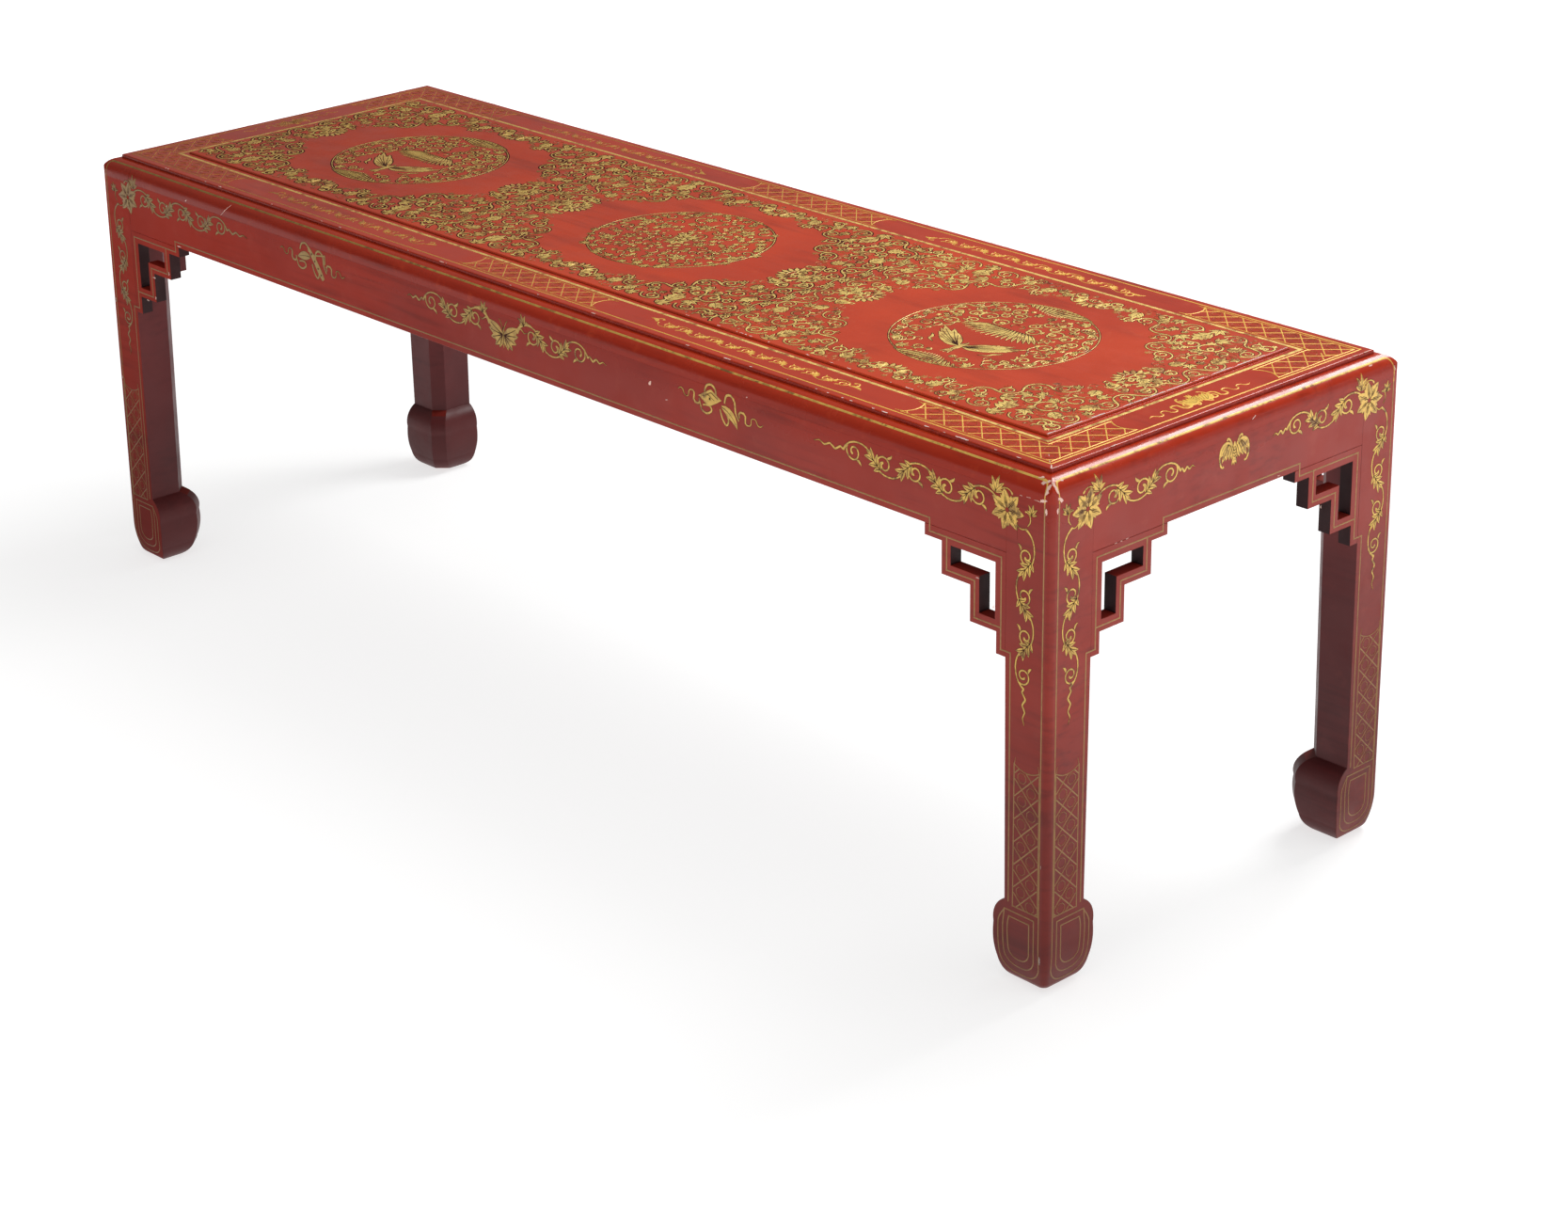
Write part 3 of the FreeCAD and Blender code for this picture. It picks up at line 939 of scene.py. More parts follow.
@dataclass
class Drawing:
    """Strokes of gold, and the dark strokes that are drawn over them."""

    gold: list[Stroke] = field(default_factory=list)
    dark: list[Stroke] = field(default_factory=list)

    def __iadd__(self, other: "Drawing") -> "Drawing":
        """Takes in the strokes of another drawing."""
        self.gold += other.gold
        self.dark += other.dark
        return self

    def __add__(self, other: "Drawing") -> "Drawing":
        """The strokes of both drawings."""
        return Drawing(self.gold + other.gold, self.dark + other.dark)

    def placed(self, x: float = 0, y: float = 0, turn: float = 0, scale: float = 1,
               flip: bool = False) -> "Drawing":
        """A copy, flipped across its own X axis if asked, then scaled, turned and shifted.

        Args:
            x: Shift to the right.
            y: Shift upwards.
            turn: Turn in degrees.
            scale: Size of the copy.
            flip: Whether it is flipped.

        Returns:
            The copy.
        """
        cos, sin = scale * math.cos(math.radians(turn)), scale * math.sin(math.radians(turn))
        hand = -1 if flip else 1

        def place(u: float, v: float) -> Point:
            """Where a point of the drawing goes."""
            return (x + u * cos - hand * v * sin, y + u * sin + hand * v * cos)

        return self.carried(place, scale)

    def carried(self, place: Carry, scale: float = 1.0) -> "Drawing":
        """A copy with each point carried elsewhere."""
        return Drawing([s.moved(place, scale) for s in self.gold], [s.moved(place, scale) for s in self.dark])

    def heavier(self, more: float) -> "Drawing":
        """A copy with every stroke wider by the same half width."""
        wider = [Stroke(s.points, tuple(width + more for width in s.widths)) for s in self.gold]
        return Drawing(wider, list(self.dark))

    def mirrored(self) -> "Drawing":
        """A copy with left and right exchanged."""
        return self.carried(lambda u, v: (-u, v))

    def both(self) -> "Drawing":
        """A copy with its mirror image."""
        return self + self.mirrored()

    def stroke(self, points: Iterable[Point], widths: float | Iterable[float], dark: bool = False) -> None:
        """One stroke through points, of one half width or of a half width for each point."""
        line = tuple(points)
        halves = (widths,) * len(line) if isinstance(widths, float) else tuple(widths)
        (self.dark if dark else self.gold).append(Stroke(line, halves))

    def line(self, points: Sequence[Point], width: float) -> None:
        """Straight lines through points, each carried past its ends by half a width."""
        for (x0, y0), (x1, y1) in zip(points, points[1:]):
            length = math.hypot(x1 - x0, y1 - y0) or 1
            dx, dy = (x1 - x0) / length * width, (y1 - y0) / length * width
            self.stroke(((x0 - dx, y0 - dy), (x1 + dx, y1 + dy)), width)

    def curve(self, points: Sequence[Point], widths: Sequence[float], steps: int = 4) -> None:
        """A smooth line through points, its width eased between those given along it."""
        ends = [points[0], *points, points[-1]]
        line: list[Point] = []
        for near in zip(ends, ends[1:], ends[2:], ends[3:]):
            for step in range(steps):
                t = step / steps
                line.append(tuple(0.5 * (2 * q + (r - p) * t + (2 * p - 5 * q + 4 * r - s) * t * t
                                         + (3 * q - p - 3 * r + s) * t ** 3) for p, q, r, s in zip(*near)))
        line.append(points[-1])
        halves = []
        for index in range(len(line)):
            at = index / (len(line) - 1) * (len(widths) - 1)
            low = min(int(at), len(widths) - 2)
            halves.append(max(HAIR, widths[low] + (widths[low + 1] - widths[low]) * (at - low)))
        self.stroke(line, halves)

    def curl(self, x: float, y: float, heading: float, radius: float, end_radius: float, turn: float,
             width: float, ball: float = 1.8) -> None:
        """A stroke that winds in on itself and ends in a small ball.

        Args:
            x: Start.
            y: Start.
            heading: Heading at the start.
            radius: Radius of the turn at the start.
            end_radius: Radius at the end.
            turn: Whole turn in degrees, anticlockwise if positive.
            width: Half width of the stroke.
            ball: Size of the ball over the stroke's width.
        """
        steps = max(4, int(abs(turn) / 24))
        points, widths = [(x, y)], [width * 0.75]
        for step in range(steps):
            t = (step + 0.5) / steps
            r = radius + (end_radius - radius) * t
            heading += turn / steps / 2
            x, y = polar(x, y, heading, r * math.radians(abs(turn) / steps))
            heading += turn / steps / 2
            points.append((x, y))
            widths.append(width * (1 + (ball - 1) * max(0.0, (step + 1) / steps * 6 - 5)))
        points.append(polar(x, y, heading, width * ball * 0.8))
        widths.append(width * 0.5)
        self.stroke(points, widths)

    def petal(self, x: float, y: float, heading: float, length: float, half: float, bend: float = 0,
              vein: float = 0.0) -> None:
        """A pointed petal.

        Args:
            x: Foot of the petal.
            y: Foot of the petal.
            heading: Its mean heading.
            length: Its length.
            half: Its greatest half width.
            bend: How far it bends over its length, in degrees.
            vein: Half width of a dark vein along it, or 0 for none.
        """
        steps = 5 if length < 9 else 6
        angle, points, widths = heading - bend / 2, [(x, y)], [half * 0.25]
        for step in range(steps):
            x, y = polar(x, y, angle, length / steps)
            angle += bend / (steps - 1)
            t = (step + 1) / steps
            points.append((x, y))
            widths.append(max(HAIR, half * math.sin(math.pi * t ** 0.8) ** 0.85 if t < 0.999 else HAIR))
        self.stroke(points, widths)
        if vein:
            self.stroke(points[:-1], [vein * (1 - 0.6 * step / steps) for step in range(steps)], True)


def leaf(size: float, vein: float = 0.3) -> Drawing:
    """A lobed leaf at the origin along +X."""
    made = Drawing()
    made.petal(0, 0, 0, size, size * 0.16, 0, vein)
    for hand in (1, -1):
        made.petal(size * 0.06, 0, hand * 34, size * 0.84, size * 0.145, hand * 16, vein)
        made.petal(0, 0, hand * 66, size * 0.6, size * 0.125, hand * 30, vein * 0.8)
    return made


def calyx(size: float, vein: float = 0.3, bend: float = 24.0) -> Drawing:
    """A broad leaf with pointed lobes along its midrib, opening from the origin along +X."""
    made = Drawing()
    made.petal(0, 0, 0, size, size * 0.22, bend, vein)
    for along, length in ((0.04, 0.5), (0.24, 0.52), (0.46, 0.4)):
        lean = bend * (along - 0.5)
        foot = polar(0, 0, lean / 2 - bend / 4, size * along)
        for hand in (1, -1):
            made.petal(*foot, hand * 50 + lean, size * length, size * 0.13, hand * 26, vein * 0.7)
    return made


def sheath(size: float, vein: float = 0.3) -> Drawing:
    """A leaf wrapped round a stem along +X at the origin, its pointed lobes turned out on both sides."""
    made = Drawing()
    for hand in (1, -1):
        for along, length, half, lean in ((-0.5, 0.4, 0.1, 62), (-0.3, 0.5, 0.12, 48),
                                          (-0.04, 0.56, 0.12, 30)):
            made.petal(size * along, 0, hand * lean, size * length, size * half, hand * 24, vein)
    made.petal(-size * 0.5, 0, 0, size, size * 0.1, 0, vein)
    return made


def scroll(radius: float, width: float, lobes: int = 3) -> Drawing:
    """A scroll that winds in round the origin to a ball, with lobes on its back."""
    made = Drawing()
    points = [polar(0, 0, 215 - 24 * i, radius * (1 - 0.74 * (i / 20) ** 1.15)) for i in range(21)]
    swell = [0.6 + 0.5 * math.sin(math.pi * i / 20) for i in range(19)]
    made.stroke(points, [width * share for share in (*swell, 1.5, 0.8)])
    for index in range(lobes):
        angle = 170 - 52 * index
        made.petal(*polar(0, 0, angle, radius * 0.94), angle - 40, radius * 0.62, radius * 0.16, -50)
    return made


def volute(radius: float, width: float) -> Drawing:
    """A C-shaped scroll, open along +X, both its ends wound in, with a leaf on its back."""
    made = Drawing()
    for hand in (1, -1):
        made.curl(-radius, 0, -hand * 90, radius * 1.15, radius * 0.22, hand * 340, width, 1.6)
        made.petal(-radius, 0, 180 - hand * 38, radius * 0.66, radius * 0.16, hand * 40)
    made.petal(-radius, 0, 180, radius * 0.7, radius * 0.2)
    return made


def flower(radius: float, petals: int = 6, vein: float = 0.32) -> Drawing:
    """An open flower seen from the front."""
    made = Drawing()
    for index in range(petals):
        angle = 90 + index * 360 / petals
        x, y = polar(0, 0, angle, radius * 0.12)
        made.petal(x, y, angle, radius * 0.9, radius * 0.27, 0, vein)
        made.petal(x, y, angle + 180 / petals, radius * 0.66, radius * 0.15, 10, 0)
    for index in range(petals):
        angle = 90 + index * 360 / petals
        for turn in (-6, 6):
            foot, tip = polar(0, 0, angle + 2 * turn, radius * 0.3), polar(0, 0, angle + turn, radius * 0.62)
            made.stroke((foot, tip), (vein * 0.8, HAIR), True)
    return made


def wavering_end(length: float, sway: float, width: float) -> Drawing:
    """A thin wavering end along +X."""
    made = Drawing()
    count = 11
    points = [(length * i / count, sway * (1 - i / count * 0.6) * (0, 1, 0, -1)[i % 4])
              for i in range(count + 1)]
    made.curve(points, (width, width * 1.2, width * 0.9, HAIR), 3)
    return made


def vine_units(half_wave: float, height: float, waves: int, width: float, leaf_size: float,
               vein: float = 0.42) -> list[Drawing]:
    """The pieces of a waving stem along +X: each half wave with its curl, and each pair of leaves.

    Args:
        half_wave: Length of one half wave.
        height: How far the stem leaves its axis.
        waves: Number of half waves.
        width: Half width of the stem.
        leaf_size: Size of the leaves.
        vein: Half width of the leaves' veins.

    Returns:
        The pieces in order.
    """
    units = []
    ways = [i / 10 for i in range(11)]
    for wave in range(waves):
        hand, start, unit = (-1) ** wave, wave * half_wave, Drawing()
        stem = [(start + half_wave * (t - 0.07 * math.sin(2 * math.pi * t)),
                 hand * height * math.sin(math.pi * t)) for t in ways]
        unit.stroke(stem, [width * (0.9 + 0.6 * abs(2 * t - 1) ** 3) for t in ways])
        unit.curl(start + half_wave * 0.85, hand * height * 0.62, -hand * 58, height * 0.82, height * 0.2,
                  -hand * 460, width * 0.95, 1.6)
        unit.petal(start + half_wave * 0.56, -hand * height * 0.5, hand * 215, height * 0.7, height * 0.13,
                   hand * 60)
        units.append(unit)
        if wave:
            units.append(sheath(leaf_size, vein).placed(start, 0, hand * 40))
    return units


def vine(half_wave: float, height: float, waves: int, width: float, leaf_size: float, tail: float = 0.0,
         vein: float = 0.42) -> Drawing:
    """A whole waving stem along +X, with a wavering end of a given length."""
    made = Drawing()
    for unit in vine_units(half_wave, height, waves, width, leaf_size, vein):
        made += unit
    if tail:
        made += wavering_end(tail, 2.0, width).placed(waves * half_wave, flip=waves % 2 == 0)
    return made


def bat(width: float, vein: float = 0.5) -> Drawing:
    """A bat with spread scalloped wings, its head upwards, centred on the origin."""
    made, wing, k = Drawing(), Drawing(), width / 42
    for tip, foot, half in (((17.5, -8.5), (8, 7.5), 3.6), ((12.5, -7.5), (5.5, 6), 3.2),
                            ((7.5, -8), (3, 5), 3.0), ((19, -2), (9, 8), 3.6), ((4, -8), (1, 4), 2.4)):
        heading = math.degrees(math.atan2(tip[1] - foot[1], tip[0] - foot[0]))
        wing.petal(foot[0], foot[1], heading, math.dist(tip, foot), half, -8, vein)
    wing.curve([(2, 3), (7, 8), (13, 9.5), (18.5, 5.5), (20.5, -2), (19.8, -9), (17, -13.2), (14.8, -12.6)],
               (1.0, 1.4, 1.5, 1.5, 1.4, 1.2, 1.0, 1.4), 3)
    wing.curve([(3, 3), (4.5, 8), (7.5, 12.5), (10, 13.6), (10.6, 11.6)], (1.3, 1.2, 0.9, 1.2), 3)
    made += wing.placed(scale=k).both()
    made.petal(0, 8.5 * k, -90, 23 * k, 3.2 * k)
    made.petal(0, -6 * k, -112, 8.5 * k, 1.4 * k, 10)
    made.petal(0, -6 * k, -68, 8.5 * k, 1.4 * k, -10)
    for y in (1, -2, -5):
        made.stroke(((-2.2 * k, y * k), (0, (y - 1.2) * k), (2.2 * k, y * k)), (0.2, vein, 0.2), True)
    return made


def butterfly(width: float, vein: float = 0.55) -> Drawing:
    """A butterfly with open wings, its head upwards."""
    wing, k = Drawing(), width / 40
    for heading, length, half in ((28, 20, 4.6), (8, 18, 4.4), (-18, 16, 4.2), (-48, 15, 3.8),
                                  (-70, 13, 2.8)):
        wing.petal(1.2, 0.5, heading, length, half, 8, vein)
    wing.curve([(18, 9.5), (23, 10.5), (27, 8), (31, 9)], (0.9, 0.7, 0.5, HAIR))
    wing.curve([(0.8, 6), (3.5, 11), (5.5, 13.5)], (0.35, 0.3, HAIR))
    made = wing.placed(scale=k).both()
    made.petal(0, 7 * k, -90, 18 * k, 1.7 * k, 0, vein)
    return made


def ribbon(length: float, sway: float, width: float, loops: int = 4) -> Drawing:
    """A fluttering ribbon along +X that thins to its end."""
    made, points, widths = Drawing(), [], []
    for index in range(loops * 10 + 1):
        t = index / (loops * 10)
        phase = 2 * math.pi * loops * t
        points.append((length * t - length / loops * 0.16 * (1 - t) * math.sin(2 * phase),
                       sway * (1 - 0.75 * t) * math.sin(phase)))
        widths.append(max(HAIR, width * (1 - t) ** 0.4 * (1 + 0.35 * math.sin(9 * t))))
    made.stroke(points, widths)
    return made


def emblem(hand: int) -> Drawing:
    """A tied emblem with fluttering ribbons: a lozenge, or a crossed sword for a hand of -1."""
    made = Drawing()
    if hand > 0:
        for x, y in ((-15, 2), (-11, 4.5)):
            made.stroke(((x - 13, y), (x, y), (x + 13, y)), (0.4, 7.5, 0.4))
            made.stroke(((x - 8, y + 1), (x, y + 4), (x + 8, y)), (0.2, 0.45, 0.2), True)
        made.stroke(((-14, 2.5), (-12, 2.5)), 1.2, True)
        made.petal(2, -1, -38, 27, 4.6, -46, 0.4)
    else:
        made.curve([(-6, 13), (3, 3), (12, -9), (18, -17)], (1.4, 3.4, 3.6, 2.6), 3)
        for x, y in ((0, 6.5), (5, 0), (10, -6.5), (14.5, -12.5)):
            made.stroke(((x - 0.8, y), (x + 0.8, y)), 1.0, True)
        made.petal(-3, 3, 190, 22, 5.0, 20, 0.4)
        made.line([(5, 6), (22, 9), (22, 1)], 0.9)
    made.curve([(-20, 8), (-17, 14), (-11, 16), (-6, 13), (-5, 8)], (1.0, 1.2, 1.0), 3)
    made.curve([(6, 3), (8, 10), (14, 12), (19, 7), (20, -2), (24, -9)], (1.0, 1.2, 1.2, 0.9), 3)
    made.curve([(-26, -4), (-24, -10), (-17, -12), (-11, -8), (-14, -4), (-22, -5)], (0.9, 1.1, 0.9), 3)
    made.curve([(0, -4), (3, -12), (8, -17), (11, -12), (8, -6)], (0.9, 1.1, 0.9), 3)
    made += ribbon(30, 6.5, 0.95, 2).placed(25, -6, 2)
    made += ribbon(28, 6.5, 0.95, 2).placed(-27, 0, 176)
    return made


def fan(radius: float, petals: int = 9) -> Drawing:
    """A half-round shell of petals that opens along +X."""
    made = Drawing()
    for index in range(petals):
        angle = -90 + 180 * (index + 0.5) / petals
        x, y = polar(0, 0, angle, radius * 0.62)
        made.petal(x, y, angle, radius * 0.42, radius * 0.12, 0, 0.0)
    arc = [polar(0, 0, -90 + 15 * i, radius * 0.56) for i in range(13)]
    made.stroke(arc, 0.55)
    for hand in (1, -1):
        made.curl(radius * 0.05, hand * radius * 0.3, 0, radius * 0.26, radius * 0.12, -hand * 330, 0.55)
    return made


def feathers(count: int, spread: float, length: float, half: float, foot: float) -> Drawing:
    """A fan of narrow feathers along -Y, their feet side by side on the X axis."""
    made = Drawing()
    for index in range(count):
        t = 2 * index / (count - 1) - 1
        reach = length * (1 + 0.35 * abs(t)) * (1 - 0.25 * t * t)
        made.petal(t * foot, 0, -90 + t * spread, reach, half, 0, 0.42)
    return made


class Path:
    """A polyline that drawings can be bent along."""

    def __init__(self, points: Sequence[Point]) -> None:
        """Measures the line.

        Args:
            points: Its points.
        """
        self.points = list(points)
        self.lengths = [0.0]
        for (x0, y0), (x1, y1) in zip(points, points[1:]):
            self.lengths.append(self.lengths[-1] + math.hypot(x1 - x0, y1 - y0))

    @property
    def length(self) -> float:
        """The whole length."""
        return self.lengths[-1]

    def at(self, along: float, aside: float) -> Point:
        """The point at a distance along the line and to its left."""
        index = 0
        while index < len(self.points) - 2 and self.lengths[index + 1] < along:
            index += 1
        (x0, y0), (x1, y1) = self.points[index:index + 2]
        span = self.lengths[index + 1] - self.lengths[index] or 1
        t = (along - self.lengths[index]) / span
        return (x0 + (x1 - x0) * t - (y1 - y0) / span * aside, y0 + (y1 - y0) * t + (x1 - x0) / span * aside)

    def bent(self, drawing: Drawing) -> Drawing:
        """A drawing along +X, bent along this line."""
        return drawing.carried(self.at)

    def beside(self, distance: float, spacing: float = 3.0) -> "Path":
        """A line beside this one, to its left."""
        count = max(2, int(self.length / spacing))
        return Path([self.at(self.length * i / count, distance) for i in range(count + 1)])

    @classmethod
    def ring(cls, radius: float, start: float = 0.0, end: float = 360.0) -> "Path":
        """An arc about the origin."""
        steps = max(8, int(abs(end - start) / 4))
        return cls([polar(0, 0, start + (end - start) * i / steps, radius) for i in range(steps + 1)])


def thinned(units: Iterable[Drawing], within: Callable[[Stroke], bool],
            drawn: Sequence[Stroke] = (), cell: float = 1.4, share: float = 0.22) -> Drawing:
    """The pieces that stay in their ground and find room beside those drawn before.

    Args:
        units: The pieces, the weightiest first.
        within: Tells whether a stroke stays in its ground.
        drawn: The strokes that are there already.
        cell: Size of the squares that are counted as taken.
        share: How much of a piece may lie on taken squares.

    Returns:
        The pieces kept, as one drawing.
    """
    taken: set[tuple[int, int]] = set()
    kept = Drawing()

    def mark(strokes: Iterable[Stroke]) -> None:
        """Counts the squares under strokes as taken."""
        for stroke in strokes:
            for (x, y), half in zip(stroke.points, stroke.widths):
                reach = int(half / cell + 0.6)
                taken.update((math.floor(x / cell) + i, math.floor(y / cell) + j)
                             for i in range(-reach, reach + 1) for j in range(-reach, reach + 1))

    mark(drawn)
    for unit in units:
        if not all(within(stroke) for stroke in unit.gold):
            continue
        points = [point for stroke in unit.gold for point in stroke.points]
        cells = {(math.floor(x / cell), math.floor(y / cell)) for x, y in points}
        if len(cells & taken) > share * len(cells):
            continue
        kept += unit
        mark(unit.gold)
    return kept


@dataclass
class PanelOrnament:
    """The gilt ornament of the top panel: three medallions in a ground of dense scrolls.

    FIELD is a quarter of a medallion's plain field, LEAVES hold place, size and turn of the large leaves,
    and SCROLLS those of the large scrolls with the hand they wind to.
    """

    FIELD = ((0, 117), (13, 116), (24, 121), (36, 116), (50, 109), (62, 106), (74, 110), (86, 106), (97, 93),
             (104, 80), (111, 70), (122, 58), (134, 50), (145, 45), (151, 35), (149, 25), (153, 17), (152, 0))
    LEAVES = ((136, 136, 25, 262), (106, 104, 17, 200), (188, 74, 21, 100), (162, 46, 17, 66),
              (116, 74, 15, 240), (79, 128, 15, 80), (52, 138, 19, 285), (32, 126, 13, 110),
              (172, 112, 18, 40), (160, 92, 13, 200))
    SCROLLS = ((92, 116, 10, 20, 1), (152, 102, 11, 330, -1), (193, 117, 10, 0, 1), (146, 62, 8, 90, 1),
               (180, 20, 9, 300, -1), (110, 84, 9, 140, -1), (172, 136, 10, 200, 1), (68, 138, 9, 10, -1),
               (168, 78, 9, 60, 1))
    half_bay: float = 206.0
    half_width: float = 150.5
    seed: int = 7

    def __post_init__(self) -> None:
        """Seeds the small irregularities."""
        self.random = random.Random(self.seed)

    def within(self, stroke: Stroke) -> bool:
        """Whether a stroke of a quarter bay stays in its ground."""
        return all(0.3 < x < self.half_bay - 0.3 and 0.3 < y < self.half_width and self.outside(x, y)
                   for x, y in stroke.points)

    def outside(self, x: float, y: float) -> bool:
        """Whether a point of a quarter bay lies outside the plain field."""
        inside = False
        corners = [(0, 0), *self.FIELD]
        for (x0, y0), (x1, y1) in zip(corners, corners[1:] + corners[:1]):
            if (y0 > y) != (y1 > y) and x < x0 + (x1 - x0) * (y - y0) / (y1 - y0):
                inside = not inside
        return not inside

    def quarter(self) -> tuple[Drawing, Drawing]:
        """The bold scrolls of a quarter bay, its medallion at the origin, and the fine ones between them."""
        units = [calyx(size, 0.36).placed(x, y, turn) for x, y, size, turn in self.LEAVES]
        rim = Path([(4, 136), (100, 136), (186, 138), (192, 120), (193, 60), (193, 4)])
        for path in (Path(self.FIELD[::-1]).beside(-13), rim):
            units += [path.bent(unit) for unit in vine_units(24, 9.5, int(path.length / 24), 0.85, 17, 0.34)]
        units += [scroll(radius * 1.15, 0.9).placed(x, y, turn, 1, hand < 0)
                  for x, y, radius, turn, hand in self.SCROLLS]
        box = (0, self.half_bay, 0, self.half_width)
        bold = thinned([*units, *self.scatter(1500, box, 13.0, 5.0)], self.within, share=0.15)
        return bold, thinned(self.sprigs(2600, box, 0.42), self.within, bold.gold)

    def strewn(self, box: Sequence[float]) -> Triple:
        """A chance place in a box of low X, high X, low Y and high Y, and a chance heading."""
        rng = self.random
        return rng.uniform(box[0], box[1]), rng.uniform(box[2], box[3]), rng.uniform(0, 360)

    def scatter(self, count: int, box: Sequence[float], most: float, least: float) -> list[Drawing]:
        """Scrolls and leaves strewn over a box, the largest first."""
        units = []
        for index in range(count):
            x, y, turn = self.strewn(box)
            radius = most + (least - most) * index / count
            width = 0.6 + 0.045 * radius
            shape = (scroll(radius, width), volute(radius * 0.9, width), scroll(radius, width, 2),
                     leaf(radius * 1.3, 0.3), volute(radius * 0.8, width))[index % 5]
            units.append(shape.placed(x, y, turn, 1, self.random.random() < 0.5))
        return units

    def sprigs(self, count: int, box: Sequence[float], width: float) -> list[Drawing]:
        """Small curls and leaves strewn over a box, larger ones first."""
        rng, units = self.random, []
        for index in range(count):
            x, y, heading = self.strewn(box)
            size = 1.15 - 0.7 * index / count
            unit = Drawing()
            if index % 3 == 0:
                unit.curl(x, y, heading, 5.2 * size, 2.2 * size, rng.choice((-300, 300)), width * size)
            elif index % 3 == 1:
                unit.curl(x, y, heading, 6.5 * size, 5.5 * size, rng.choice((-190, 190)), width * size, 1.6)
            else:
                unit += leaf(6.5 * size, 0.0).placed(x, y, heading)
            units.append(unit)
        return units

    def bay(self) -> tuple[Drawing, Drawing]:
        """All bold and all fine scrolls of one bay."""
        bold, fine = Drawing(), Drawing()
        for quarter, made in zip(self.quarter(), (bold, fine)):
            for flip in (False, True):
                made += quarter.placed(flip=flip)
                made += quarter.mirrored().placed(flip=flip)
        for turn, far in ((0, 166), (180, 166), (90, 137), (270, 137)):
            bold += fan(21).placed(*polar(0, 0, turn, far), turn + 180)
        for hand in (1, -1):
            bold += calyx(14, 0.36).placed(hand * 168, 0, 90 - hand * 90)
            for up in (1, -1):
                bold.curl(hand * 186, up * 2, 90 - hand * 90, 5.5, 2, -hand * up * 330, 0.9)
                bold.curl(hand * 190, up * 13, 90 + up * 90, 5, 2, hand * up * 300, 0.9)
        return bold, fine

    def seam(self) -> Drawing:
        """The vine that joins two bays, along the Y axis."""
        path = Path([(0, -self.half_width), (0, self.half_width)])
        return path.bent(vine(25, 6.0, int(path.length / 25), 0.85, 13, 0, 0.3))

    def medallion_leaves(self) -> Drawing:
        """The middle medallion: a wreath of leaves round scattered blossoms."""
        made = Drawing()
        rng = self.random
        made.stroke((polar(0, 0, a, 92) for a in range(0, 361, 6)), 0.5)
        for index in range(44):
            angle = index * 360 / 44 + rng.uniform(-2, 2)
            x, y = polar(0, 0, angle, rng.uniform(80, 90))
            made += leaf(rng.uniform(8, 11.5), 0.22).placed(x, y, angle + rng.uniform(-90, 90))
        for index in range(34):
            angle, far = index * 137.5, 20 + 54 * math.sqrt((index + 0.5) / 34)
            x, y = polar(0, 0, angle, far)
            if index % 3 == 0:
                made += flower(rng.uniform(7, 10), 5, 0.22).placed(x, y, rng.uniform(0, 70))
            else:
                made += calyx(rng.uniform(7.5, 10.5), 0.22).placed(x, y, rng.uniform(0, 360))
        made += flower(13, 7, 0.35).placed(0, -6)
        made += leaf(15, 0.3).placed(2, 6, 60)
        made += leaf(15, 0.3).placed(-4, 6, 125)
        made += thinned(self.sprigs(1200, (-90, 90, -90, 90), 0.6),
                        lambda stroke: all(math.hypot(x, y) < 90 for x, y in stroke.points), made.gold)
        return made

    def medallion_bird(self) -> Drawing:
        """An outer medallion: a bird under a canopy of feathers in a wreath of scrolls."""
        made = Drawing()
        wreath = vine(2 * math.pi * 86 / 32, 5.2, 9, 0.7, 8.0, 0, 0.2)
        for start in (-46, 134):
            made += Path.ring(86, start, start + 92).bent(wreath)
        for turn in (0, 180):
            lens = Drawing()
            for index in range(15):
                t = index / 7 - 1
                x, y = polar(0, 0, 90 - t * 21, 95)
                lens.petal(x, y, -90 - t * 38, 21 - 12 * t * t, 1.7, 0, 0.36)
            lens.curve([polar(0, 0, a, 95) for a in range(66, 116, 8)], (0.4, 0.9, 0.4))
            side = leaf(12, 0.2).placed(44, 78, 200)
            side.curl(56, 70, 160, 7, 2.2, 330, 0.6)
            side += leaf(9, 0.2).placed(62, 62, 150)
            lens += side.both()
            made += lens.placed(0, 0, turn)
        made.stroke((polar(0, 0, a, 93.5) for a in range(0, 361, 6)), 0.5)
        side, foot = Drawing(), (3, -43)
        side.curve([(43, -34), (37, -40), (35, -46), (27, -50)], (HAIR, 1.7, 1.2, HAIR))
        side.curve([(50, 4), (48, -6), (53, -14)], (HAIR, 1.1, HAIR))
        for tip in ((25, -19), (37, -12), (50, -11), (47, -19), (42, -27), (34, -35), (23, -42)):
            heading = math.degrees(math.atan2(tip[1] - foot[1], tip[0] - foot[0]))
            reach = math.dist(tip, foot)
            side.petal(*foot, heading, reach, 5.2 if reach > 30 else 4.0, 10, 0.6)
        side += calyx(8, 0.2).placed(11, -69, 30)
        side += volute(8, 1.0).placed(40, 36, 200)
        made += side.both()
        made += feathers(17, 50, 25, 2.3, 25).placed(0, 21)
        made.petal(0, -32, -90, 30, 3.6, 0, 0.3)
        for angle in (-110, -90, -70):
            made.petal(0, -52, angle, 13, 1.8, 0, 0.2)

        def room(stroke: Stroke) -> bool:
            """Whether a stroke stays in the right half of the medallion, clear of the bird."""
            return all(x > 0.6 and math.hypot(x, y) < 91 and not (x < 52 and -48 < y < -4)
                       and not (x < 38 and -64 < y < 22) for x, y in stroke.points)

        box = (0, 92, -92, 92)
        for units in (self.scatter(700, box, 7.5, 4.0), self.sprigs(900, box, 0.5)):
            made += thinned(units, room, made.gold, share=0.18).both()
        return made


